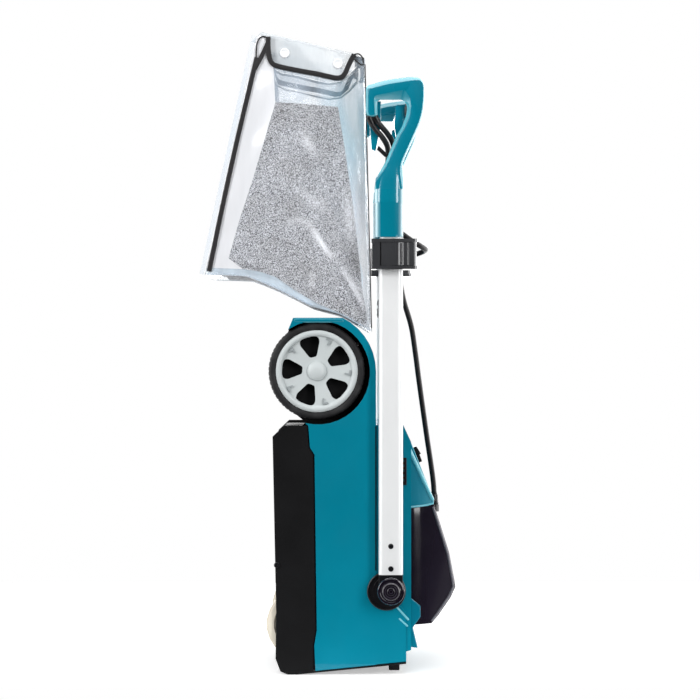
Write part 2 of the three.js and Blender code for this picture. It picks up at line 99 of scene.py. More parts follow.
def spread(tree, value, low, high, start=0.3, end=0.7):
    """value from start..end mapped to low..high, each a number or a socket."""
    node = tree.nodes.new("ShaderNodeMapRange")
    for socket, given in zip(("From Min", "From Max", "To Min", "To Max"), (start, end, low, high)):
        if hasattr(given, "node"):
            tree.links.new(given, node.inputs[socket])
        else:
            node.inputs[socket].default_value = given
    tree.links.new(value, node.inputs["Value"])
    return node.outputs["Result"]


def tint(tree, factor, one, other):
    """The colour one turned into other as factor goes from 0 to 1, each a colour or a socket."""
    mix = tree.nodes.new("ShaderNodeMix")
    mix.data_type = "RGBA"
    tree.links.new(factor, mix.inputs[0])
    for socket, given in ((mix.inputs[6], one), (mix.inputs[7], other)):
        if hasattr(given, "node"):
            tree.links.new(given, socket)
        else:
            socket.default_value = (*given, 1)
    return mix.outputs[2]


def calculated(tree, operation, *values):
    node = tree.nodes.new("ShaderNodeMath")
    node.operation = operation
    for value, socket in zip(values, node.inputs):
        tree.links.new(value, socket)
    return node.outputs["Value"]


def product(tree, one, other):
    return calculated(tree, "MULTIPLY", one, other)


def parts(tree, vector):
    """A vector's X, Y and Z."""
    node = tree.nodes.new("ShaderNodeSeparateXYZ")
    tree.links.new(vector, node.inputs["Vector"])
    return node.outputs


def bump(tree, shader, height, strength, distance):
    node = tree.nodes.new("ShaderNodeBump")
    node.inputs["Strength"].default_value = strength
    node.inputs["Distance"].default_value = distance
    tree.links.new(height, node.inputs["Height"])
    tree.links.new(node.outputs["Normal"], shader.inputs["Normal"])


def plastic(name, base, rough, vary=0.06, grain=900, depth=0.15, streaks=None, painted_edge_highlight=None,
            highlight_span=(0.5, 0.97), highlight_most=0.75, **more):
    """Moulded plastic: slow colour drift, patchy gloss and a fine surface grain. The optional paler edge colour
    is a painted highlight on the chamfers and rolled edges that turn away from the machine's sides: the given
    largest share of it where the normal's sideways part is at the low end of the given span, and none at the high
    end."""
    made, tree, shader, coords = node_material(name, base, rough, **more)
    drift = noise(tree, coords, 9, 3)
    dark = [c * (1 - vary) for c in base]
    light = [min(1, c * (1 + vary)) for c in base]
    colour = tint(tree, spread(tree, drift, 0, 1), dark, light)
    # Painted highlight: faces turned away from the sides are mixed towards the paler colour, standing in for the
    # light their chamfers catch
    if painted_edge_highlight:
        sideways = calculated(tree, "ABSOLUTE", parts(tree, coords.node.outputs["Normal"])["Y"])
        turned = spread(tree, sideways, highlight_most, 0, *highlight_span)
        slanted = spread(tree, sideways, 0, 1, 0.02, 0.3)
        colour = tint(tree, product(tree, turned, slanted), colour, painted_edge_highlight)
    tree.links.new(colour, shader.inputs["Base Color"])
    patch = noise(tree, coords, 26, 5, streaks)
    rougher = spread(tree, patch, max(0.03, rough - 0.05), rough + 0.07)
    tree.links.new(rougher, shader.inputs["Roughness"])
    bump(tree, shader, noise(tree, coords, grain, 2), depth, 0.0004)
    return made


DECK_MIX = {"vary": 0.05, "grain": 500, "depth": 0.08, "specular": 0.08}
TEAL = plastic("teal_plastic", (0.0, 0.18, 0.262), 0.36, coat=0.4, **DECK_MIX)
# The rim, cowl, arm and ferrule teals carry a painted highlight on their edges; the ferrule's is the palest and
# broadest
RIM_TEAL = plastic("teal_plastic_rim", (0.0, 0.18, 0.262), 0.36, painted_edge_highlight=(0.16, 0.56, 0.66), coat=0.4, **DECK_MIX)
COWL_TEAL = plastic("cowl_teal_plastic", (0.0, 0.172, 0.25), 0.4, painted_edge_highlight=(0.36, 0.78, 0.88), highlight_most=0.9,
                    **DECK_MIX)
ARM_TEAL = plastic("arm_teal_plastic", (0.0, 0.178, 0.26), 0.28, vary=0.05, grain=500, depth=0.05,
                   painted_edge_highlight=(0.2, 0.66, 0.76), coat=0.9, specular=0.1)
FERRULE_TEAL = plastic("ferrule_teal_plastic", (0.0, 0.185, 0.265), 0.24, vary=0.05, grain=500, depth=0.05,
                       painted_edge_highlight=(0.62, 0.86, 0.93), highlight_span=(0.68, 0.94), highlight_most=0.95, coat=0.9,
                       specular=0.1)
BLACK = plastic("black_textured_plastic", (0.005, 0.005, 0.0056), 0.55, vary=0.3, grain=700, depth=0.4,
                specular=0.1)
SATIN_BLACK = plastic("black_satin_plastic", (0.006, 0.006, 0.0075), 0.34, vary=0.2, grain=900, depth=0.12,
                      coat=0.5, specular=0.15)
# The clamp and hood blacks carry a faint painted grey highlight on their edges
CLAMP_BLACK = plastic("black_clamp_plastic", (0.03, 0.031, 0.034), 0.3, vary=0.2, grain=900, depth=0.1,
                      painted_edge_highlight=(0.16, 0.16, 0.17), coat=0.8, specular=0.25)
HOOD_BLACK = plastic("black_gloss_plastic", (0.006, 0.0038, 0.0095), 0.14, vary=0.2, grain=300, depth=0.02,
                     painted_edge_highlight=(0.055, 0.05, 0.065), coat=0.6, specular=0.1)
RIM_GREY = plastic("grey_rim_plastic", (0.52, 0.56, 0.565), 0.42, vary=0.04, grain=700, depth=0.1)
IVORY = plastic("ivory_plastic", (0.71, 0.66, 0.56), 0.45, vary=0.08, grain=400, depth=0.1)
STUD_WHITE = plastic("white_stud_plastic", (0.86, 0.87, 0.89), 0.4, vary=0.03, grain=400, depth=0.1)
SILVER = plastic("silver_paint", (0.79, 0.80, 0.805), 0.34, vary=0.01, grain=1400, depth=0.04, metallic=0.1,
                 coat=0.15)
# Pale teal and grey painted highlights, for the deck's ribs and the beads along the hood's edges
HIGHLIGHT_TEAL = plastic("teal_painted_highlight", (0.12, 0.47, 0.56), 0.3, vary=0.05, grain=500, depth=0.05, coat=0.6)
HIGHLIGHT_GREY = plastic("grey_painted_highlight", (0.12, 0.115, 0.135), 0.3, vary=0.1, grain=700, depth=0.05, coat=0.5,
                    specular=0.2)
MARK_GREY = plastic("grey_mark_plastic", (0.3, 0.33, 0.34), 0.5, vary=0.04, grain=700, depth=0.1)
STEEL = plastic("zinc_steel", (0.42, 0.42, 0.41), 0.34, vary=0.08, grain=600, depth=0.1, metallic=1.0)
BLADE_STEEL = plastic("blade_steel", (0.32, 0.33, 0.34), 0.36, vary=0.15, grain=350, depth=0.25,
                      metallic=0.9, streaks=(1, 0.15, 4))
COPPER = plastic("copper_windings", (0.52, 0.22, 0.1), 0.4, vary=0.2, grain=250, depth=0.5, metallic=0.8,
                 streaks=(1, 1, 8))
FOAM = plastic("grip_foam", (0.009, 0.009, 0.01), 0.85, vary=0.2, grain=900, depth=0.9, sheen=0.1, specular=0.2)
SHEATH = plastic("cable_sheath", (0.008, 0.007, 0.008), 0.38, vary=0.2, grain=500, depth=0.15, specular=0.3)


def tyre_rubber():
    made, tree, shader, coords = node_material("tyre_rubber", (0.012, 0.012, 0.013), 0.62, specular=0.25)
    dust = spread(tree, noise(tree, coords, 40, 6), 0, 1, 0.45, 0.75)
    tree.links.new(tint(tree, dust, (0.008, 0.008, 0.009), (0.03, 0.03, 0.031)), shader.inputs["Base Color"])
    bump(tree, shader, noise(tree, coords, 700, 3), 0.5, 0.0005)
    return made


def speckled_mesh():
    """Coated grey screen: a fine random weave of white and dark threads, lighter and darker in patches, with
    painted highlights along its folds and painted shade in its creases, read from a per-point attribute.
    """
    made, tree, shader, coords = node_material("grey_mesh_cloth", (0.4, 0.4, 0.42), 0.7, sheen=0.1,
                                               specular=0.3)
    weave = noise(tree, coords, 780, 1)
    clouds = noise(tree, coords, 17, 5)
    fine = spread(tree, weave, 0, 1, 0.4, 0.6)
    pale = tint(tree, fine, (0.072, 0.074, 0.084), (0.66, 0.68, 0.73))
    dull = tint(tree, fine, (0.055, 0.056, 0.06), (0.55, 0.56, 0.59))
    tone_and_fold_light = tint(tree, spread(tree, clouds, 0, 0.8, 0.42, 0.68), pale, dull)
    painted_fold_light = tree.nodes.new("ShaderNodeAttribute")
    painted_fold_light.attribute_name = "painted_fold_light"
    # Painted light: pale highlights where the fold value is above 0, dark shade where it is below 0
    for end, colour in ((1.0, (0.93, 0.95, 1.0)), (-1.0, (0.04, 0.04, 0.045))):
        tone_and_fold_light = tint(tree, spread(tree, painted_fold_light.outputs["Fac"], 0, 0.85, 0.0, end), tone_and_fold_light, colour)
    tree.links.new(tone_and_fold_light, shader.inputs["Base Color"])
    bump(tree, shader, weave, 0.6, 0.0008)
    return made


MESH_CLOTH = speckled_mesh()


def vinyl(name, base, alpha, haze=0.12, painted_show_through=None):
    """Soft clear vinyl: milky streaks, a rippled glossy skin, and perhaps a painted teal show-through towards the
    mouth's front, standing in for the teal handle seen through it.
    """
    made, tree, shader, coords = node_material(name, base, 0.14, coat=0.6, specular=0.5)
    streak = noise(tree, coords, 16, 5, (1.6, 1.0, 0.22))
    tree.links.new(spread(tree, streak, max(0, alpha - haze), min(1, alpha + haze), 0.35, 0.65),
                   shader.inputs["Alpha"])
    ripple = noise(tree, coords, 22, 3, (1.4, 1.0, 0.3))
    bump(tree, shader, ripple, 0.35, 0.006)
    # Painted show-through: towards the mouth's front the colour turns teal, standing in for the teal handle seen
    # through the vinyl
    if painted_show_through:
        place = parts(tree, coords)
        across = spread(tree, place["X"], 0, 1, -0.03, 0.035)
        above = spread(tree, place["Z"], 0, 1, 0.78, 0.9)
        below = spread(tree, place["Z"], 1, 0, 0.94, 1.0)
        amount = product(tree, product(tree, across, above), below)
        tree.links.new(tint(tree, amount, base, painted_show_through), shader.inputs["Base Color"])
    return made


WHITE_VINYL = vinyl("white_vinyl", (0.8, 0.81, 0.84), 0.9, 0.06)
# The clear vinyl's teal near the mouth's front is painted show-through
CLEAR_VINYL = vinyl("clear_vinyl", (0.62, 0.72, 0.84), 0.22, 0.12, painted_show_through=(0.16, 0.5, 0.66))
HEM_VINYL = vinyl("hem_vinyl", (0.72, 0.83, 0.93), 0.5, 0.16)
FLAP_VINYL = vinyl("flap_vinyl", (0.62, 0.67, 0.71), 0.46, 0.14)
TAPE = plastic("black_binding_tape", (0.01, 0.009, 0.01), 0.5, vary=0.3, grain=420, depth=0.8, sheen=0.1,
               specular=0.25)


# ---------------------------------------------------------------- geometry helpers
def link(name, mesh, material, body, slot, replaces=(), angle=None, edge=None):
    """A new piece on a body. Edges up to angle degrees are smoothed, and edge gives what bevel takes."""
    piece = placed(name, mesh)
    for one in material if isinstance(material, tuple) else (material,):
        mesh.materials.append(one)
    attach(piece, body)
    if replaces:
        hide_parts(*replaces)
    if angle:
        smooth(mesh, angle)
    if edge:
        bevel(piece, *edge)
    return piece


def smooth(mesh, angle):
    mesh.polygons.foreach_set("use_smooth", [True] * len(mesh.polygons))
    mesh.set_sharp_from_angle(angle=math.radians(angle))


def bevel(piece, width, segments=2, angle=30):
    made = piece.modifiers.new("bevel", "BEVEL")
    made.width = width * MM
    made.segments = segments
    made.limit_method = "ANGLE"
    made.angle_limit = math.radians(angle)
    made.harden_normals = True
    made.use_clamp_overlap = True


def apply_modifiers(piece):
    depsgraph = bpy.context.evaluated_depsgraph_get()
    depsgraph.update()
    mesh = bpy.data.meshes.new_from_object(piece.evaluated_get(depsgraph))
    old = piece.data
    piece.modifiers.clear()
    piece.data = mesh
    bpy.data.meshes.remove(old)


def mesh_from(points, faces):
    mesh = bpy.data.meshes.new("mesh")
    mesh.from_pydata([[c * MM for c in point] for point in points], [], faces)
    made = bmesh.new()
    made.from_mesh(mesh)
    bmesh.ops.recalc_face_normals(made, faces=made.faces)
    made.to_mesh(mesh)
    made.free()
    return mesh


def joined(meshes):
    """Several meshes as one."""
    made = bmesh.new()
    for mesh in meshes:
        made.from_mesh(mesh)
    whole = bpy.data.meshes.new("joined")
    made.to_mesh(whole)
    made.free()
    return whole


PLACE = {
    "y": lambda a, b, c: (a, c, b),  # (x, z) outline, pushed along Y
    "z": lambda a, b, c: (a, b, c),  # (x, y) outline, pushed along Z
}


def prism_mesh(outline, start, end, axis="y"):
    count = len(outline)
    points = [PLACE[axis](a, b, c) for c in (start, end) for a, b in outline]
    faces = [list(range(count)), list(range(2 * count - 1, count - 1, -1))]
    faces += [[i, (i + 1) % count, count + (i + 1) % count, count + i] for i in range(count)]
    return mesh_from(points, faces)


def fillet(points, radius, count=4):
    """An outline with each corner rounded. radius is one number, or one for each corner."""
    made = []
    total = len(points)
    for i, point in enumerate(points):
        reach = radius[i] if hasattr(radius, "__len__") else radius
        here, before, after = Vector(point), Vector(points[i - 1]), Vector(points[(i + 1) % total])
        reach = min(reach, (here - before).length * 0.48, (here - after).length * 0.48)
        if reach < 0.2:
            made.append(tuple(here))
            continue
        start = here + (before - here).normalized() * reach
        end = here + (after - here).normalized() * reach
        for k in range(count + 1):
            t = k / count
            made.append(tuple(start * (1 - t) ** 2 + here * (2 * t * (1 - t)) + end * t * t))
    return made


def ring(a, b, radius, count):
    turn = 2 * math.pi / count
    return [(a + radius * math.cos(turn * i), b + radius * math.sin(turn * i)) for i in range(count)]


def loft(rings, closed=False):
    """A solid through rings of points with the same count, capped at its ends or closed to a hoop."""
    count, rows = len(rings[0]), len(rings)
    faces = []
    for r in range(rows if closed else rows - 1):
        for i in range(count):
            n, m = (i + 1) % count, (r + 1) % rows
            faces.append([r * count + i, r * count + n, m * count + n, m * count + i])
    if not closed:
        faces += [list(range(count)), list(range((rows - 1) * count, rows * count))]
    return mesh_from([point for one in rings for point in one], faces)


def lathe_mesh(profile, centre, axis="y", count=64, closed=False):
    """A turned piece. profile gives (radius, place along the axis) from one end to the other."""
    turns = [2 * math.pi * i / count for i in range(count)]
    return loft([[Vector(centre) + Vector(PLACE[axis](radius * math.cos(turn), radius * math.sin(turn), along))
                  for turn in turns] for radius, along in profile], closed)


def cut(piece, *meshes, join=False):
    """Booleans applied one after another, from meshes in the same frame."""
    for mesh in meshes:
        other = placed("cutter", mesh)
        made = piece.modifiers.new("boolean", "BOOLEAN")
        made.operation = "UNION" if join else "DIFFERENCE"
        made.solver = "EXACT"
        made.object = other
        apply_modifiers(piece)
        bpy.data.objects.remove(other)


def tube_curve(name, points, diameter, material, body, slot, resolution=8):
    """A round cord or binding that follows the points smoothly, as a curve."""
    curve = bpy.data.curves.new(name, "CURVE")
    curve.dimensions = "3D"
    spline = curve.splines.new("NURBS")
    spline.points.add(len(points) - 1)
    for place, point in zip(spline.points, points):
        place.co = (*[c * MM for c in point], 1)
    spline.order_u = 3
    spline.use_endpoint_u = True
    spline.resolution_u = resolution
    curve.bevel_depth = diameter * MM / 2
    curve.bevel_resolution = 5
    curve.use_fill_caps = True
    curve.materials.append(material)
    piece = placed(name, curve)
    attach(piece, body)
    return piece


def dress(name, material, width):
    """A CAD node that keeps its shape: its flat faces joined, its edges rounded, and a finish."""
    node = NODES[name]
    mesh = node.data
    stored = mesh.attributes.get("custom_normal")
    if stored:
        mesh.attributes.remove(stored)
    mesh.materials.clear()
    mesh.materials.append(material)
    weld = node.modifiers.new("weld", "WELD")
    weld.merge_threshold = 0.00002
    flat = node.modifiers.new("flat", "DECIMATE")
    flat.decimate_type = "DISSOLVE"
    flat.angle_limit = math.radians(0.6)
    smooth(mesh, 30)
    if width:
        bevel(node, width)


# ---------------------------------------------------------------- cords
CORD = 9.0  # the lead's diameter
# Each stretch's middle line from the top down, in millimetres
LEAD_UPPER = [
    (71.2, -202.8, 920), (73, -202.6, 915.6), (77.6, -202, 909.2), (84.2, -199.4, 901.6), (92, -193.5, 893),
    (101, -184.5, 879), (105, -176.5, 860), (104, -171.5, 832), (101, -170, 797), (99.4, -171, 780),
    (99, -171, 766),
]
LEAD_LOOP = [
    (99, -171, 764.8), (99.6, -171.4, 757), (102, -173, 748), (112, -176, 733), (130, -177, 719),
    (146, -172, 709), (155, -160, 704), (156, -145, 702), (150, -133, 699), (140, -126, 696),
    (130.4, -122.6, 694.2),
]
LEAD_LOWER = [
    (127.6, -121.8, 693.3), (120, -119.5, 688), (115, -116.5, 673), (115.5, -113, 650), (121, -109, 620),
    (134, -102, 576), (141, -96, 532), (147, -90, 487), (154, -82, 438), (161, -74, 390), (168, -66, 345),
    (172.5, -61, 312), (174, -59, 291.5),
]
FLYING_LEAD = [
    (61.4, -203.4, 921), (62.4, -203.3, 916.4), (66.4, -203, 908), (74, -201.6, 897.4), (84, -197.5, 886),
    (92.5, -188.5, 872), (94, -179, 855), (92, -167, 825), (91, -158, 795), (92, -153, 760), (93, -150, 720),
    (93, -149, 680), (93, -149, 641),
]


def smooth_path(points, steps=5):
    """The points of a centripetal curve through the given ones."""
    made = []
    ends = [Vector(points[0]) * 2 - Vector(points[1])] + [Vector(p) for p in points]
    ends.append(Vector(points[-1]) * 2 - Vector(points[-2]))
    for i in range(1, len(ends) - 2):
        p0, p1, p2, p3 = ends[i - 1:i + 3]
        t0 = 0.0
        t1 = t0 + (p1 - p0).length ** 0.5
        t2 = t1 + (p2 - p1).length ** 0.5
        t3 = t2 + (p3 - p2).length ** 0.5
        for k in range(steps):
            t = t1 + (t2 - t1) * k / steps
            a1 = p0 * ((t1 - t) / (t1 - t0)) + p1 * ((t - t0) / (t1 - t0))
            a2 = p1 * ((t2 - t) / (t2 - t1)) + p2 * ((t - t1) / (t2 - t1))
            a3 = p2 * ((t3 - t) / (t3 - t2)) + p3 * ((t - t2) / (t3 - t2))
            b1 = a1 * ((t2 - t) / (t2 - t0)) + a2 * ((t - t0) / (t2 - t0))
            b2 = a2 * ((t3 - t) / (t3 - t1)) + a3 * ((t - t1) / (t3 - t1))
            made.append(tuple(b1 * ((t2 - t) / (t2 - t1)) + b2 * ((t - t1) / (t2 - t1))))
    made.append(tuple(points[-1]))
    return made


def tube_mesh(path, diameter, sides=18):
    """A closed round tube swept along a path without twisting."""
    path = [Vector(p) for p in path]
    last = len(path) - 1
    across = (path[1] - path[0]).orthogonal()
    turns = [2 * math.pi * k / sides for k in range(sides)]
    rings = []
    for i, here in enumerate(path):
        along = (path[min(i + 1, last)] - path[max(i - 1, 0)]).normalized()
        across = (across - along * across.dot(along)).normalized()
        other = along.cross(across)
        rings.append([here + (across * math.cos(turn) + other * math.sin(turn)) * diameter / 2
                      for turn in turns])
    return loft(rings)


def lead(name, node, points, body, crossing=None):
    """One stretch of the lead. Given crossing, the stretch is a free tube on no body; the two bodies crossing
    names are not used.
    """
    path = smooth_path(points)
    metres = [[c * MM for c in point] for point in path]
    if crossing:
        piece = placed(name, tube_mesh(path, CORD))
        piece.data.materials.append(SHEATH)
        smooth(piece.data, 50)
        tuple(metres[0])
        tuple(metres[-1])
        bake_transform(piece)
    else:
        piece = tube_curve(name, path, CORD, SHEATH, body, "lead", resolution=3)
    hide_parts(node)
    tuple(metres[0])
    return piece


def strain_relief(name, start, end, thick, thin, body):
    """A ribbed tapered sleeve round a lead where it leaves a housing."""
    start, end = Vector(start), Vector(end)
    along = end - start
    profile = [(0.5, 0), (thick - 1, 0), (thick, 1.2)]
    ribs = 7
    for i in range(ribs):
        radius = thick + (thin - thick) * (i + 1) / (ribs + 1)
        place = along.length * (0.12 + 0.84 * i / ribs)
        step = along.length * 0.84 / ribs
        profile += [(radius + 0.5, place), (radius + 0.5, place + step * 0.5),
                    (radius - 0.5, place + step * 0.6), (radius - 0.5, place + step * 0.9)]
    profile += [(thin, along.length), (0.5, along.length)]
    mesh = lathe_mesh(profile, (0, 0, 0), "z", 28)
    turn = along.to_track_quat("Z", "Y")
    for vertex in mesh.vertices:
        vertex.co = turn @ vertex.co + start * MM
    link(name, mesh, SATIN_BLACK, body, "black", angle=40)


plug_profile = [
    (0.5, 588), (14.5, 588), (16.6, 590), (17, 593), (17, 604), (15.8, 606), (15.8, 609), (17, 611),
    (16.6, 617), (14, 622), (9.5, 626), (8.2, 630), (7.4, 633), (8, 634), (7.2, 636), (7.6, 638), (6.6, 641),
    (5.2, 642), (0.5, 642),
]
PLUG_X, PLUG_Y = 93, -149
plug = link("flying_plug_body", lathe_mesh(plug_profile, (PLUG_X, PLUG_Y, 0), "z", 40), SATIN_BLACK,
            "upper_handle", "lead", ("flying_plug",), angle=40)
cut(plug, *(prism_mesh(ring(PLUG_X + 8 * math.cos(a), PLUG_Y + 8 * math.sin(a), 2.6, 20), 584, 600, "z")
            for a in (math.radians(90), math.radians(210), math.radians(330))))

lead("cable_upper", "lead_upper", LEAD_UPPER, "upper_handle")
lead("cable_loop", "lead_loop", LEAD_LOOP, None, crossing=("upper_handle", "lower_handle"))
lead("cable_lower", "lead_lower", LEAD_LOWER, None, crossing=("lower_handle", "deck"))
lead("flying_cable", "flying_lead", FLYING_LEAD, "upper_handle")

# ---------------------------------------------------------------- deck, hood and running gear
for material, width, nodes in (
    (TEAL, 1.9, "deck_shell"), (TEAL, 1.4, "front_bridge"), (COWL_TEAL, 2.2, "motor_cowl"),
    (HOOD_BLACK, 5.5, "motor_cover"), (HOOD_BLACK, 1.2, "lock_button"),
    (ARM_TEAL, 2.0, "switch_box"), (ARM_TEAL, 1.6, "switch_bail"),
    (BLACK, 1.6, "lower_skirt"), (BLACK, 0.8, "discharge_flap"),
    (FOAM, 1.5, "nose_foot_left nose_foot_right"), (FOAM, 2.0, "handle_grip"),
    (SATIN_BLACK, 0.3, "cooling_fan"), (SATIN_BLACK, 0.5, "vent_grille_left vent_grille_right"),
    (SATIN_BLACK, 0.8, "cord_guide lead_gland"), (SATIN_BLACK, 1.0, "cord_hook"),
    (SATIN_BLACK, 1.2, "pivot_base_left pivot_base_right tube_eye_left tube_eye_right"),
    (CLAMP_BLACK, 1.2, "clamp_left clamp_right"), (CLAMP_BLACK, 1.0, "clamp_lever_left clamp_lever_right"),
    (SILVER, 0.3, "inner_tube_left inner_tube_right"), (IVORY, 2.2, "front_wheel_left front_wheel_right"),
    (STEEL, 0, "bag_frame"), (STEEL, 0.4, "flap_rod"), (STEEL, 0.5, "rotor_shaft"),
    (STEEL, 0.6, "bearing_lower bearing_upper rear_axle front_axle pivot_bolt_left pivot_bolt_right"),
    (STEEL, 0.8, "blade_bolt"), (STEEL, 1.0, "blade_boss"), (STEEL, 1.5, "motor_can"),
    (COPPER, 1.5, "armature"), (BLADE_STEEL, 0.5, "blade"),
):
    for node in nodes.split():
        dress(node, material, width)

SIDES = (("left", 1), ("right", -1))


def hood_half(x):
    """Half the hood's width at a distance x from the machine's underside."""
    return 130 - max(0, x - 100) * 8 / 50 - max(0, x - 150) * (35 / 65 - 8 / 50)


# The hood's rolled edges, as beads let into its corners, coloured pale teal and grey as painted highlights
for name, material, slot, thick, line in (
    ("cowl_slope_edge", HIGHLIGHT_TEAL, "deck_teal", 7.0, [(128, 374), (139, 351), (154, 317), (169.4, 284.4)]),
    ("cowl_lower_edge", HIGHLIGHT_TEAL, "deck_teal", 3.4,
     [(126, 273), (140, 274), (150, 275), (160, 276.2), (170, 278.6)]),
    ("cover_edge", HIGHLIGHT_GREY, "black", 4.4,
     [(170, 273), (182.4, 234), (195.4, 193), (201, 163), (205.4, 137.4), (198.2, 121.8), (178.2, 93.6),
      (168, 80.6)]),
):
    for tag, side in SIDES:
        path = [(x, side * (hood_half(x) + 0.5), z) for x, z in line]
        link(name + "_" + tag, tube_mesh(path, thick, 12), material, "deck", slot, angle=50)

# The deck's faces inside the wheel arches are painted black as shade
ARCH_CENTRE, ARCH_RADIUS, ARCH_DEPTH = (-22, 499), 92, (130, 180)
shaded_arches = NODES["deck_shell"]
shaded_arches.modifiers["flat"].delimit = {"MATERIAL"}
shaded_arches.data.materials.append(BLACK)
for polygon in shaded_arches.data.polygons:
    x, y, z = polygon.center / MM
    near = math.hypot(x - ARCH_CENTRE[0], z - ARCH_CENTRE[1]) < ARCH_RADIUS
    if near and ARCH_DEPTH[0] < abs(y) < ARCH_DEPTH[1]:
        polygon.material_index = 1

REAR = (-24, 501)  # the rear axle


def side_prism(side, outline, inner, outer):
    return prism_mesh(outline, *sorted((side * inner, side * outer)))


def side_lathe(side, profile, centre, count=72, closed=False):
    turned = [(radius, side * along) for radius, along in profile]
    return lathe_mesh(turned, (centre[0], 0, centre[1]), "y", count, closed)


def round_wheel(degrees, corners):
    """An outline round the rear axle from (radius, angle) corners, all turned by the same degrees."""
    x, z = REAR
    turn = math.radians(degrees)
    return [(x + r * math.cos(turn + a), z + r * math.sin(turn + a)) for r, a in corners]


SPOKES = 5
TYRE_RIBS = 60
TYRE = tyre_rubber()
TYRE_PROFILE = [
    (68.3, 143), (70, 141.6), (74.5, 141), (77.6, 142), (79.4, 144.4), (80, 148), (80, 171), (79.4, 174.6),
    (77.6, 177), (74.5, 178), (70, 177.4), (68.3, 176), (68.3, 170), (68.3, 150),
]
DISH_PROFILE = [(0.5, 190), (61.5, 190), (60.5, 175), (57, 171.6), (26, 169.6), (0.5, 169.2)]
HUB_PROFILE = [(0.5, 143), (14.5, 143), (15, 144), (15, 168), (16, 170.4), (15.4, 172.6), (13, 174.4),
               (9.5, 175.8), (4, 176.8), (0.5, 176.8)]
WINDOW = [(24.5, 0.24), (24.5, -0.24), (50, -0.34), (57.2, -0.28), (58.2, -0.14), (58.2, 0.14), (57.2, 0.28),
          (50, 0.34)]
SPOKE_MARK = [(46, -0.035), (56.5, -0.075), (57.6, 0.10), (54.2, 0.10), (53.6, -0.005), (46.2, 0.02)]
BEAD_PROFILE = [(58.9, 175.6), (60.4, 177.2), (63, 177.8), (66, 177.2), (67.4, 175.8), (63, 174.8)]

for tag, side in SIDES:
    body = "rear_wheel_" + tag
    tyre = link("tyre_" + tag, side_lathe(side, TYRE_PROFILE, REAR, 96, closed=True), TYRE, body, "tyre",
                ("rear_tyre_" + tag,), angle=40)
    grooves = []
    for k in range(TYRE_RIBS):
        turn = 2 * math.pi * k / TYRE_RIBS
        across, up = math.cos(turn), math.sin(turn)
        groove = [(REAR[0] + r * across - w * up, REAR[1] + r * up + w * across)
                  for r, w in ((78.7, -1.1), (84, -1.1), (84, 1.1), (78.7, 1.1))]
        grooves.append(side_prism(side, groove, 146.5, 175))
    cut(tyre, joined(grooves))
    smooth(tyre.data, 40)

    rim = link("rim_" + tag, side_prism(side, ring(*REAR, 67.7, 96), 142, 176), RIM_GREY, body, "rim_grey",
               ("rear_rim_" + tag,))
    windows = [side_prism(side, fillet(round_wheel(32 + 360 / SPOKES * k, WINDOW), 3.5), 150, 185)
               for k in range(SPOKES)]
    cut(rim, side_lathe(side, DISH_PROFILE, REAR, 96), side_prism(side, ring(*REAR, 61, 96), 130, 163),
        joined(windows))
    cut(rim, side_lathe(side, HUB_PROFILE, REAR, 64), join=True)
    cut(rim, side_prism(side, ring(*REAR, 5.5, 40), 120, 172))
    smooth(rim.data, 30)
    bevel(rim, 0.9, 2, 40)
    marks = [fillet(round_wheel(-4 + 360 / SPOKES * k, SPOKE_MARK), 0.9, 3) for k in range(SPOKES)]
    marks = [side_prism(side, outline, 169.8, 173.8) for outline in marks]
    link("spoke_marks_" + tag, joined(marks), MARK_GREY, body, "rim_grey", angle=40, edge=(0.5, 2))
    link("rim_bead_" + tag, side_lathe(side, BEAD_PROFILE, REAR, 96, closed=True), RIM_GREY, body, "rim_grey",
         angle=50)
    # A black disc behind the spokes is painted shade, seen through the rim's windows
    shade = side_lathe(side, [(15.4, 150), (60, 150), (60, 151.6), (15.4, 151.6)], REAR, 64, closed=True)
    link("rim_back_shade_" + tag, shade, BLACK, body, "black", angle=40)

# Deck sides: ribs below the pivot in a painted-highlight teal, the raised tier's flush plate, a black strip of
# painted shadow along its step, the rolled rear rim with a painted highlight, a black strip of painted shade
# behind the gap between deck and skirt, and a bolt in the skirt
FLUSH_PLATE = [(69, 16.6), (123.6, 22.2), (123.6, 104), (114, 113), (69, 113)]
TIER_STEP_SHADOW = [(72.6, 172), (74.4, 172), (74.4, 410), (72.6, 410)]
REAR_RIM = [(-62.4, 581), (25, 581), (18.6, 589.4), (-63, 589.4)]
SKIRT_SEAM = [(-38, 406), (-35, 375), (-27.6, 363), (-23.8, 73), (-28, 48), (-30, 8)]
SEAM_SHADE_STRIP = [(x - 9, z) for x, z in SKIRT_SEAM] + [(x + 6, z) for x, z in reversed(SKIRT_SEAM)]
BOLT_PROFILE = [(0.5, 181), (4.2, 181), (4.8, 182), (4.8, 184), (3.8, 185.2), (1.6, 185.4), (1.4, 184),
                (0.5, 184)]
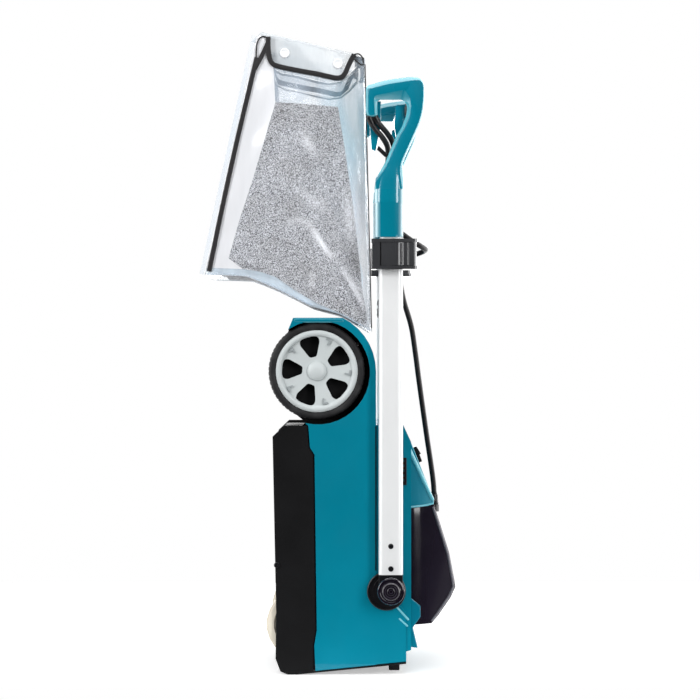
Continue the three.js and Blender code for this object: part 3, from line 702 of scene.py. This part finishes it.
for tag, side in SIDES:
    ribs = []
    for (xa, za), (xb, zb), wide in (((107, 113), (128, 90), 3.4), ((112, 93), (126.5, 79.5), 3.0)):
        along = (Vector((xb, zb)) - Vector((xa, za))).normalized() * wide
        outline = [(xa - along.y / 2, za + along.x / 2), (xb - along.y / 2, zb + along.x / 2),
                   (xb + along.y / 2, zb - along.x / 2), (xa + along.y / 2, za - along.x / 2)]
        ribs.append(side_prism(side, outline, 178, 183.6))
    link("deck_ribs_" + tag, joined(ribs), HIGHLIGHT_TEAL, "deck", "deck_teal", angle=40, edge=(1.3, 3))
    link("tier_side_" + tag, side_prism(side, FLUSH_PLATE, 179.9, 182.06), TEAL, "deck", "deck_teal", angle=40)
    # A black strip along the tier's step is a painted shadow
    link("tier_step_shadow_" + tag, side_prism(side, TIER_STEP_SHADOW, 180, 182.15), BLACK, "deck", "black", angle=40)
    link("deck_rim_" + tag, side_prism(side, REAR_RIM, 168, 183), RIM_TEAL, "deck", "deck_teal", angle=40,
         edge=(3.9, 4))
    # A black strip behind the seam is painted shade in the gap between deck and skirt
    link("seam_shade_strip_" + tag, side_prism(side, SEAM_SHADE_STRIP, 175, 178.7), BLACK, "deck", "black", angle=40)
    link("skirt_bolt_" + tag, side_lathe(side, BOLT_PROFILE, (-90, 181), 24), SATIN_BLACK, "deck", "black",
         angle=30)


# ---------------------------------------------------------------- handle
TUBE = (98, 202)
KNOB = (98, 141)
KNOB_NOTCHES = 18


def flat_oval(a, b, width, depth, corner):
    corners = [(a + i * width / 2, b + j * depth / 2) for i, j in ((-1, -1), (1, -1), (1, 1), (-1, 1))]
    return fillet(corners, corner, 8)


for tag, side in SIDES:
    section = [(a, side * b) for a, b in flat_oval(*TUBE, 40, 20, 9.4)]
    hole = [(a, side * b) for a, b in flat_oval(*TUBE, 37, 17, 8)]
    tube = link("tube_" + tag, prism_mesh(section, 167, 700, "z"), SILVER, "lower_handle", "tube",
                ("outer_tube_" + tag,))
    cut(tube, prism_mesh(hole, 160, 710, "z"))
    smooth(tube.data, 40)
    collar = [(a, side * b) for a, b in flat_oval(*TUBE, 38.6, 18.6, 8.8)]
    link("tube_collar_" + tag, prism_mesh(collar, 158, 166.6, "z"), SATIN_BLACK, "lower_handle", "black",
         angle=40, edge=(0.8, 2))
    for number, place in enumerate((214, 177)):
        screw = side_lathe(side, [(0.5, 209), (4.4, 209), (4.4, 212.6), (3.8, 213.4), (2.1, 213.5), (1.8, 212.7),
                                  (0.5, 212.7)], (TUBE[0], place), 32)
        link(f"tube_screw_{tag}_{number + 1}", screw, SATIN_BLACK, "lower_handle", "black", angle=30)

    for name, x, y, radius in (("barrel", 114.5, 225.8, 5.6), ("bead", 126, 227.4, 2.2)):
        rib = [(0.5, 674.3), (radius - 0.7, 674.3), (radius, 675), (radius, 711), (radius - 0.7, 711.7),
               (0.5, 711.7)]
        link(f"lever_{name}_{tag}", lathe_mesh(rib, (x, side * y, 0), "z", 32), CLAMP_BLACK,
             "clamp_lever_" + tag, "black_gloss", angle=40)

    knob = side_lathe(side, [
        (0.5, 213.4), (21, 213.4), (22.4, 214.6), (22.5, 216), (22.5, 224.6), (21.6, 226.8), (19.6, 227.9),
        (17.4, 227.6), (16.2, 226.6), (15.4, 226.8), (15, 228.6), (14.4, 230.6), (12.6, 231.9), (10.6, 231.7),
        (9.6, 230.2), (8.6, 229.4), (7.2, 229.4), (6.6, 230.6), (5.2, 231.5), (3.2, 231.5), (2.4, 230.5),
        (0.5, 230.2),
    ], KNOB, 72)
    knob = link("knob_" + tag, knob, HOOD_BLACK, "pivot_knob_" + tag, "black_gloss", ("pivot_knob_" + tag,),
                angle=38)
    notches = [side_prism(side, ring(a, b, 1.9, 12), 212, 225.5) for a, b in ring(*KNOB, 23.6, KNOB_NOTCHES)]
    cut(knob, joined(notches))
    cut(knob, side_prism(side, ring(*KNOB, 5.5, 32), 200, 225))
    smooth(knob.data, 38)
    plate = side_lathe(side, [(31.4, 181.6), (32.2, 183.6), (31.6, 186.8), (30.2, 187.6), (28.4, 187), (28, 184)],
                       (91, 138), 72, closed=True)
    link("pivot_rim_" + tag, plate, SATIN_BLACK, "deck", "black", angle=50)

# Handle arms: a ferrule that runs up into a grip loop. Each corner of the loop's outline gives x, z, the
# rounding radius there, and how far the chamfered outer face stands in from the edge.
ARM_LOOP = [
    (73, 800, 0.5, 0.3), (117, 800, 0.5, 0.3), (114.8, 837, 14, 3), (131, 873, 30, 3), (146.5, 907.5, 20, 3),
    (152, 926.5, 20, 3), (154.4, 950, 14, 3), (154.4, 972, 6, 3), (150, 981, 5, 4), (142, 984, 5, 5),
    (128, 984.6, 14, 7), (90, 979.6, 20, 8), (60, 970.5, 5, 7), (57, 966, 4, 3), (57, 926, 4, 3),
    (60, 919, 4, 3), (66, 917, 3, 3), (76, 919, 2, 4), (76, 947, 6, 6), (116, 947, 5, 16), (122, 943, 4, 9),
    (124.8, 936, 8, 6), (123.8, 922, 14, 5), (115.5, 901, 12, 4), (107, 888, 20, 4), (87.5, 841.5, 16, 4),
    (79, 827, 12, 3), (73, 818, 4, 0.3),
]
ARM_FACES = (192.2, 211.8)
CHAMFER_DEPTH = 8
FERRULE_TOP = 800
FERRULE = [  # height, centre, width and depth of each section, from the mouth up
    (721.3, 95.2, 45.6, 23.6), (722.5, 95.2, 46.6, 24.4), (775, 95.2, 46.8, 24.6), (777, 95.2, 48.2, 25.8),
    (781, 95.2, 48.4, 26), (800, 95.2, 48.2, 26), (818, 96, 46, 24), (836, 101, 33, 21), (850, 106, 24, 18),
]


def inset_corners(corners):
    """The chamfered face's corners: each moved in along its own bisector by its own distance."""
    made = []
    for i, (x, z, _, depth) in enumerate(corners):
        here, before = Vector((x, z)), Vector(corners[i - 1][:2])
        after = Vector(corners[(i + 1) % len(corners)][:2])
        normals = [Vector((-step.y, step.x)).normalized() for step in (here - before, after - here)]
        inward = (normals[0] + normals[1]).normalized()
        made.append(tuple(here + inward * depth / max(0.5, inward.dot(normals[0]))))
    return made


def crowned_oval(a, b, width, depth, count=64, fullness=2.3):
    """A section that bulges a little more than an ellipse."""
    made = []
    for k in range(count):
        turn = 2 * math.pi * k / count
        reach = [math.copysign(abs(part) ** (2 / fullness), part) for part in (math.cos(turn), math.sin(turn))]
        made.append((a + reach[0] * width / 2, b + reach[1] * depth / 2))
    return made


radii = [corner[2] for corner in ARM_LOOP]
edge = fillet([corner[:2] for corner in ARM_LOOP], radii, 5)
face = fillet(inset_corners(ARM_LOOP), radii, 5)
for tag, side in SIDES:
    inner, outer = ARM_FACES
    layers = ((inner, face), (inner + CHAMFER_DEPTH, edge), (outer - CHAMFER_DEPTH, edge), (outer, face))
    arm = link("arm_" + tag, loft([[(x, side * y, z) for x, z in line] for y, line in layers]), ARM_TEAL,
               "upper_handle", "arm_teal", ("handle_arm_" + tag,))
    bevel(arm, 1.2, 3, 28)
    apply_modifiers(arm)
    ferrule = loft([[(a, side * b, z) for a, b in crowned_oval(centre, 202, width, depth)]
                    for z, centre, width, depth in FERRULE])
    cut(arm, ferrule, join=True)
    bore = [(a, side * b) for a, b in flat_oval(*TUBE, 36.9, 16.9, 8)]
    cut(arm, prism_mesh(bore, 700, 761, "z"), side_prism(side, ring(114, 891, 4.4, 32), 180, 200))
    # The ferrule takes a copy of the arm's teal with a stronger, broader painted highlight on its sides
    arm.data.materials.append(FERRULE_TEAL)
    for polygon in arm.data.polygons:
        if polygon.center.z < FERRULE_TOP * MM:
            polygon.material_index = 1
    smooth(arm.data, 34)

# ---------------------------------------------------------------- grass bag
BAG_WIDE, BAG_MOUTH, BAG_KNEE = 176, 134, 660


def bag_half(z):
    """Half the bag's width at a height: parallel at the closed end, narrowing to the mouth."""
    return BAG_WIDE - max(0, z - BAG_KNEE) * (BAG_WIDE - BAG_MOUTH) / 400


SIDE_OUTLINE = [
    (-209, 660), (-174, 659.5), (-139, 658), (-92, 638), (-62, 623), (-33, 608), (15, 595), (40, 581),
    (67, 565), (64.5, 665), (62, 765), (59.5, 865), (57.5, 950), (56, 1021), (38, 1030), (33, 1019),
    (28, 1009), (24, 1000), (17, 993.5), (8, 990), (-15, 994), (-40, 999.5), (-73, 1006), (-90, 1010.5),
    (-99, 1015), (-103, 1023), (-106, 1036), (-108, 1060), (-124, 1060.5), (-146, 960), (-167, 860),
    (-188, 760),
]
MESH_OUTLINE = [
    (-93, 949), (-60, 947), (-25, 944), (11, 941), (15, 915), (21, 878), (28, 830), (34.6, 784), (41, 735),
    (46, 686), (51, 637), (59, 588), (57, 574), (33, 586.5), (6.6, 600), (-23, 613), (-53, 630), (-92, 657),
    (-119, 666), (-147, 670), (-170, 688), (-152, 752), (-131, 818), (-112, 883),
]


def inside(point, outline):
    x, z = point
    found = False
    for (xa, za), (xb, zb) in zip(outline, outline[1:] + outline[:1]):
        if (za > z) != (zb > z) and x < (xb - xa) * (z - za) / (zb - za) + xa:
            found = not found
    return found


def distance_to(point, line):
    """Distance from a point to a polyline, and how far along it the nearest place is, 0 to 1."""
    best, where, run = 1e9, 0.0, 0.0
    total = sum((Vector(b) - Vector(a)).length for a, b in zip(line, line[1:]))
    p = Vector(point)
    for a, b in zip(line, line[1:]):
        a, b = Vector(a), Vector(b)
        step = b - a
        t = max(0, min(1, (p - a).dot(step) / step.length_squared))
        gap = (p - a - step * t).length
        if gap < best:
            best, where = gap, (run + t * step.length) / total
        run += step.length
    return best, where


# Folds pressed into the side panels: polyline, depth and half width in millimetres. A negative one is a valley.
SIDE_FOLDS = [
    ([(-40, 823), (-18, 800), (0, 770), (16, 722), (24, 640)], 5.5, 4.5),
    ([(-34, 925), (-34, 890), (-28, 850), (-40, 823)], 2.6, 12),
    ([(-147, 655), (-120, 652), (-92, 650), (-62, 634)], -2.2, 5),
    ([(40, 640), (52, 612), (60, 585)], -6.5, 4),
    ([(-40, 823), (-80, 800), (-120, 806)], 2.4, 12),
    ([(-9, 690), (-4, 640), (-30, 622)], 3.0, 8),
    ([(30, 960), (36, 880), (44, 800), (52, 700), (58, 610)], 3.0, 7),
    ([(47, 980), (50, 900), (54, 800), (59, 690), (62, 600)], -2.5, 5),
    ([(20, 985), (44, 960), (50, 930)], 3.0, 6),
]

# Painted highlights (above 0) and painted shade in the creases (below 0) on the cloth: polyline, strength and
# half width
PAINTED_FOLD_LINES = [
    ([(-33, 740), (-22, 722), (-8, 700), (2, 690)], 1.0, 4.2),
    ([(-46, 893), (-38, 880), (-30, 866)], 0.55, 7),
    ([(-74, 750), (-58, 752), (-40, 748), (-33, 740)], 0.4, 4),
    ([(-33, 664), (-31, 650), (-30, 636)], 0.45, 4),
    ([(-149, 676), (-130, 673), (-106, 668)], -0.75, 2.4),
    ([(11, 668), (30, 635), (46, 604), (57, 579)], -0.55, 3),
    ([(20, 668), (38, 636), (52, 612)], 0.7, 5),
    ([(24, 800), (30, 755), (34, 710)], 0.3, 8),
    ([(-60, 800), (-36, 790), (-12, 770)], 0.25, 10),
]


def pressed(lines, x, z, start, share):
    """The strengths of all lines at a point. Each fades across its width and towards its ends."""
    total = 0.0
    for line, strength, width in lines:
        gap, along = distance_to((x, z), line)
        fade = math.sin(math.pi * min(1, max(0, start + along * share)))
        total += strength * fade * math.exp(-((gap / width) ** 2))
    return total


def side_relief(x, z):
    """How far a side panel stands out from its flat frame: a soft belly, folds and small ripples."""
    belly = 1.1 * math.sin(x * 0.045 + z * 0.021) * math.sin(z * 0.034 - 1)
    return pressed(SIDE_FOLDS, x, z, 0.08, 0.9) + belly + 0.5 * math.sin(x * 0.11 - z * 0.07)


def edge_fade(x, z, outline, reach=26):
    gap, _ = distance_to((x, z), outline + outline[:1])
    return min(1, gap / reach)


def painted(points, faces, slots):
    """A smooth sheet with a material slot for each face."""
    mesh = bpy.data.meshes.new("sheet")
    mesh.from_pydata([[c * MM for c in point] for point in points], [], faces)
    for polygon, slot in zip(mesh.polygons, slots):
        polygon.material_index = slot
        polygon.use_smooth = True
    return mesh


def sheet_mesh(outline, inner, spacing, place, materials_for, seams=()):
    """A triangulated sheet over a flat outline, with seams along the inner outline and open lines."""
    points = [Vector(p) for p in outline]
    count = len(points)
    edges = [(i, (i + 1) % count) for i in range(count)]
    if inner:
        points += [Vector(p) for p in inner]
        edges += [(count + i, count + (i + 1) % len(inner)) for i in range(len(inner))]
    for seam in seams:
        edges += [(len(points) + i, len(points) + i + 1) for i in range(len(seam) - 1)]
        points += [Vector(p) for p in seam]
    xs, zs = [p[0] for p in outline], [p[1] for p in outline]
    kept_clear = [outline + outline[:1], *([inner + inner[:1]] if inner else []), *seams]
    rows = int((max(zs) - min(zs)) / spacing) + 1
    columns = int((max(xs) - min(xs)) / spacing) + 1
    for r in range(1, rows):
        for c in range(1, columns):
            p = (min(xs) + (c + (0.5 if r % 2 else 0)) * spacing, min(zs) + r * spacing)
            if inside(p, outline) and all(distance_to(p, line)[0] >= spacing * 0.55 for line in kept_clear):
                points.append(Vector(p))
    vertices, _, faces, *_ = geometry.delaunay_2d_cdt(points, edges, [], 1, 1e-4)
    kept, slots = [], []
    for face in faces:
        middle = tuple(sum((vertices[i] for i in face), Vector((0, 0))) / len(face))
        if inside(middle, outline):
            kept.append(list(face))
            slots.append(materials_for(middle))
    return painted([place(*v) for v in vertices], kept, slots)


def thicken(piece, thickness):
    made = piece.modifiers.new("thickness", "SOLIDIFY")
    made.thickness = thickness * MM
    made.offset = 0


VINYL_SEAMS = [  # white vinyl behind and clear in front above the cloth, and the hem's upper edge
    [(-93.4, 950), (-94.6, 970), (-95.8, 990), (-97, 1012)],
    [(-206, 672), (-186, 671.3), (-166, 670.6), (-148, 670)],
]


def side_material(point):
    """0 mesh cloth, 1 white vinyl along the back edge, 2 clear vinyl above and in front, 3 the hem below."""
    x, z = point
    if inside(point, MESH_OUTLINE):
        return 0
    edge = -93 - max(0, z - 949) * 4 / 63
    hem = 670 + max(0, -147 - x) / 30
    if x < edge and z > hem:
        return 1
    return 3 if z < 672 and x < 52 else 2


SHEET_THICK = 0.8
for tag, side in SIDES:
    def place(x, z, side=side):
        fade = edge_fade(x, z, SIDE_OUTLINE)
        return (x, side * (bag_half(z) - 1.5 + side_relief(x, z) * fade), z)

    mesh = sheet_mesh(SIDE_OUTLINE, MESH_OUTLINE, 4.6, place, side_material, VINYL_SEAMS)
    panel = link("bag_side_" + tag, mesh, (MESH_CLOTH, WHITE_VINYL, CLEAR_VINYL, HEM_VINYL), "grass_bag", "bag")
    # Each point's painted fold highlight and crease shade
    painted_fold_layer = mesh.attributes.new("painted_fold_light", "FLOAT", "POINT")
    painted_fold_layer.data.foreach_set("value", [
        pressed(PAINTED_FOLD_LINES, v.co.x / MM, v.co.z / MM, 0.12, 0.76) for v in mesh.vertices])
    thicken(panel, SHEET_THICK)
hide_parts("bag_shell")


def band_mesh(line, rows, inset_by, relief, border):
    """A panel across the bag that follows an (x, z) line, with a border of another material."""
    path = [Vector(p) for p in line]
    lengths = [0.0]
    for a, b in zip(path, path[1:]):
        lengths.append(lengths[-1] + (b - a).length)
    steps = max(2, int(lengths[-1] / 8))
    points, faces, slots = [], [], []
    for i in range(steps + 1):
        run = lengths[-1] * i / steps
        k = max(j for j in range(len(path) - 1) if lengths[j] <= run + 1e-9)
        step = path[k + 1] - path[k]
        here = path[k] + step * ((run - lengths[k]) / step.length)
        normal = Vector((-step.y, step.x)).normalized()
        half = bag_half(here.y) - inset_by
        for j in range(rows + 1):
            t = -1 + 2 * j / rows
            rise = relief(t, i / steps) * (1 - abs(t) ** 6) * min(1, 8 * i / steps, 8 * (1 - i / steps))
            points.append((here.x + normal.x * rise, t * half, here.y + normal.y * rise))
    for i in range(steps):
        for j in range(rows):
            a = i * (rows + 1) + j
            faces.append([a, a + 1, a + rows + 2, a + rows + 1])
            middle = points[a]
            near_side = abs(middle[1]) > bag_half(middle[2]) - border
            near_end = min(i, steps - 1 - i) * lengths[-1] / steps < border
            slots.append(1 if near_side or near_end else 0)
    return painted(points, faces, slots)


def ripple(depth):
    return lambda t, s: depth * (math.sin(3.1 * t + 5 * s) * 0.6 + math.sin(7 * t - 9 * s) * 0.25 + 0.3)


BACK_LINE = [(-208.5, 661), (-188, 760), (-167, 860), (-146, 960), (-124.5, 1059)]
FRONT_LINE = [(66.5, 567), (64, 665), (61.5, 765), (59, 865), (57, 950), (55.5, 1020)]
CLOSED_LINE = [(-208, 661.5), (-174, 661), (-139, 659.5), (-92, 639.5), (-62, 624.5), (-33, 609.5),
               (15, 596.5), (40, 582.5), (66, 566.5)]
bands = []
for name, line, depth, border, materials in (
    ("bag_back", BACK_LINE, -3, 28, (MESH_CLOTH, WHITE_VINYL)),
    ("bag_front", FRONT_LINE, 3, 24, (CLEAR_VINYL, WHITE_VINYL)),
    ("bag_closed_end", CLOSED_LINE, 2.2, 20, (MESH_CLOTH, CLEAR_VINYL)),
):
    bands.append(link(name, band_mesh(line, 44, 1.5, ripple(depth), border), materials, "grass_bag", "bag"))
    thicken(bands[-1], SHEET_THICK)

# Bindings: the dips of both sides, the mouth's straight edges, the back corners' piping and the front seams
DIP_LINE = [
    (-105.5, 1059), (-105.6, 1045), (-104.8, 1034), (-102.6, 1021), (-97, 1012.5), (-86, 1008.5),
    (-72.6, 1005.5), (-50, 1001), (-25, 996.5), (-5, 992), (8, 989.5), (16, 990.5), (22, 996), (27, 1007),
    (32, 1018), (38, 1029),
]
PIPING_LINE = [(-124.4 - 77.6 * t - 2.2 * math.sin(math.pi * t), 1024 - 358 * t)
               for t in (k / 16 for k in range(17))]
SEAM_LINE = [(56.2, 1012), (56.8, 985), (59, 880), (62, 760), (64.6, 660), (66.6, 572)]
EAR_LINE = [(-106.5, 1048), (-110, 1040), (-114.5, 1030), (-119.5, 1020), (-124, 1012), (-128, 1004)]
EAR_WIRE = [(-107, 1057), (-112, 1060), (-117.5, 1058.5), (-123, 1053), (-125.4, 1040), (-125.6, 1022),
            (-125, 1008)]
FRONT_EAR_WIRE = [(38, 1029), (43, 1030.5), (48, 1029), (52.5, 1023), (53.6, 1014), (51, 1010), (42, 1017),
                  (38.5, 1021)]
HEM_LINE = [(-205, 662), (-174, 661), (-139, 659.6), (-92, 639.5), (-62, 624.5), (-33, 610), (15, 597),
            (40, 582.5), (65, 567.5)]


def on_side(line, side, out):
    return [(x, side * (bag_half(z) + out), z) for x, z in line]


def strap(name, line, side, width, material, out=0.6, thick=2.6):
    """A flat tape that lies on a side panel along an (x, z) line."""
    points = smooth_path([(x, z, 0) for x, z in line], 4)
    rows, faces = [], []
    for i, point in enumerate(points):
        before, after = Vector(points[max(0, i - 1)]), Vector(points[min(len(points) - 1, i + 1)])
        along = (after - before).normalized()
        across = Vector((-along.y, along.x, 0)) * width / 2
        here = Vector(point)
        ring_points = []
        for a, lift in ((-1, 0.0), (-0.96, 0.7), (-0.6, 1.0), (0, 0.86), (0.6, 1.0), (0.96, 0.7), (1, 0.0)):
            spot = here + across * a
            ring_points.append((spot.x, side * (bag_half(spot.y) + out + thick * lift), spot.y))
        for a in (0.96, -0.96):
            spot = here + across * a
            ring_points.append((spot.x, side * (bag_half(spot.y) + out - thick * 0.7), spot.y))
        rows.append(ring_points)
    link(name, loft(rows), material, "grass_bag", "wire", angle=50)


for tag, side in SIDES:
    strap("dip_binding_" + tag, DIP_LINE, side, 8.4, TAPE)
    strap("dip_lining_" + tag, DIP_LINE, side, 7.6, TAPE, out=-11, thick=1.4)
    strap("back_piping_" + tag, PIPING_LINE, side, 8.0, TAPE, out=0.4)
    strap("ear_binding_" + tag, EAR_LINE, side, 7.5, TAPE, out=0.9)
    for name, line, out, thick, material, slot in (
        ("ear_wire_", EAR_WIRE, 1.6, 2.6, TAPE, "wire"),
        ("front_ear_wire_", FRONT_EAR_WIRE, 1.4, 2.4, TAPE, "wire"),
        ("front_seam_", SEAM_LINE, 1.0, 1.9, TAPE, "wire"),
        ("hem_cord_", HEM_LINE, 0.8, 3.2, CLEAR_VINYL, "bag"),
    ):
        tube_curve(name + tag, on_side(line, side, out), thick, material, "grass_bag", slot)

# Mouth edge tapes across the bag, front and back
for name, x, z in (("mouth_tape_back", -115, 1057), ("mouth_tape_front", 47, 1024)):
    half = bag_half(z) - 2
    outline = fillet([(x - 8, z - 4.5), (x + 8, z - 6.5), (x + 8, z + 0.2), (x - 8, z + 2.4)], 2.4)
    link(name, prism_mesh(outline, -half, half), TAPE, "grass_bag", "wire", angle=40)

# Clear flaps that close the dips, each with two white press studs
FLAP_OUTLINE = [
    (-134, 1052), (-117, 1068), (-60, 1054.5), (0, 1040.5), (41, 1031), (57, 1019), (52, 1010), (36, 1018),
    (24, 994), (8, 986), (-40, 996), (-73, 1002), (-99, 1010), (-109, 1040), (-122, 1046),
]
FLAP_INSET = 5.5
STUD_PROFILE = [(0.5, -3.2), (7.6, -3.2), (8.3, -2.2), (8.3, 2.2), (7.4, 3.4), (5.2, 3.2), (4.2, 2.4),
                (0.5, 2.4)]
for tag, side in SIDES:
    def place(x, z, side=side):
        sway = 2.2 * math.sin((x + 134) * 0.05 + z * 0.04)
        return (x, side * (bag_half(z) - FLAP_INSET + sway), z)

    mesh = sheet_mesh(FLAP_OUTLINE, None, 7, place, lambda point: 0)
    flap = link("bag_flap_" + tag, mesh, FLAP_VINYL, "grass_bag", "bag")
    thicken(flap, 0.7)
    for number, (x, z) in enumerate(((-78, 1032), (11, 1014))):
        out = side * (bag_half(z) - FLAP_INSET)
        stud = lathe_mesh([(r, out + side * a) for r, a in STUD_PROFILE], (x, 0, z), "y", 40)
        link(f"press_stud_{tag}_{number + 1}", stud, STUD_WHITE, "grass_bag", "wire", angle=35)

# A clear flange stands out past the binding along the bag's back seam
seam_foot, seam_head = Vector((-209, 660)), Vector((-124, 1060.5))
outward = Vector((seam_foot.y - seam_head.y, seam_head.x - seam_foot.x)).normalized()
flange = [seam_foot + outward * 1.5, seam_head + outward * 1.5, seam_head + outward * 9, seam_foot + outward * 9]
for tag, side in SIDES:
    points = [(x, side * (bag_half(z) + lift), z) for lift in (0, 0.6) for x, z in flange]
    faces = [[0, 1, 2, 3], [4, 5, 6, 7], [0, 1, 5, 4], [1, 2, 6, 5], [2, 3, 7, 6], [3, 0, 4, 7]]
    link("bag_flange_" + tag, mesh_from(points, faces), CLEAR_VINYL, "grass_bag", "bag")

# Strain reliefs where the leads leave the tip of the right arm and where the motor lead enters the hood
strain_relief("lead_sleeve", (71.2, -202.8, 920), (78.4, -201.8, 908), 5.6, 4.9, "upper_handle")
strain_relief("flying_sleeve", (61.2, -203.4, 921), (67.6, -202.9, 906.2), 5.6, 4.9, "upper_handle")
strain_relief("gland_sleeve", (174, -59, 274), (173.9, -59.2, 296), 7.6, 5.0, "deck")

# ---------------------------------------------------------------- floor, light and world
LEFT, RIGHT, NEAR, FAR, LEVEL = -950, 950, -330, 1500, -0.6
floor_mesh = mesh_from([(LEFT, NEAR, LEVEL), (RIGHT, NEAR, LEVEL), (RIGHT, FAR, LEVEL), (LEFT, FAR, LEVEL)],
                       [[0, 1, 2, 3]])
floor = placed("floor", floor_mesh)
pale, _, shader, _ = node_material("pale_floor", (0.93, 0.93, 0.93), 0.9, specular=0.1)
shader.inputs["Emission Color"].default_value = (1, 1, 1, 1)
shader.inputs["Emission Strength"].default_value = 0.45
floor_mesh.materials.append(pale)

# Soft lamps: name, place, the height each is aimed at, size and power
for name, place, aim, size, power in (
    ("key_left", (-2.5, -2.4, 1.5), 0.5, (1.0, 2.4), 80), ("fill_right", (2.1, -3.2, 1.2), 0.5, (0.8, 2.4), 74),
    ("top", (0, -0.6, 3.0), 0.4, (2.4, 2.0), 30), ("front", (0.0, -4.2, 3.0), 0.5, (2.6, 1.0), 30),
    ("side_right", (3.4, -0.1, 0.8), 0.5, (2.2, 2.6), 34), ("side_left", (-3.4, -0.3, 0.8), 0.5, (2.2, 2.6), 26),
    ("back", (0.6, 3.2, 1.8), 0.5, (2.4, 2.0), 40),
):
    data = bpy.data.lights.new(name, "AREA")
    data.shape = "RECTANGLE"
    data.size, data.size_y = size
    data.energy = power
    lamp = placed(name, data)
    lamp.location = place
    lamp.rotation_euler = (Vector((0, 0, aim)) - Vector(place)).to_track_quat("-Z", "Y").to_euler()

world = bpy.data.worlds.new("studio")
bpy.context.scene.world = world
world.use_nodes = True
tree = world.node_tree
background = tree.nodes["Background"]
background.inputs["Color"].default_value = (1, 1, 1, 1)
path = tree.nodes.new("ShaderNodeLightPath")

# What shines sees a white studio on every side but the one in front; what doesn't is lit by the lamps
direction = parts(tree, tree.nodes.new("ShaderNodeTexCoord").outputs["Generated"])
studio = spread(tree, direction["Y"], 0.03, 3.2, -0.55, -0.05)
unseen = spread(tree, path.outputs["Is Glossy Ray"], 0.12, studio, 0, 1)
strength = spread(tree, path.outputs["Is Camera Ray"], unseen, 1.0, 0, 1)
tree.links.new(strength, background.inputs["Strength"])
bpy.context.scene.view_settings.view_transform = "Standard"
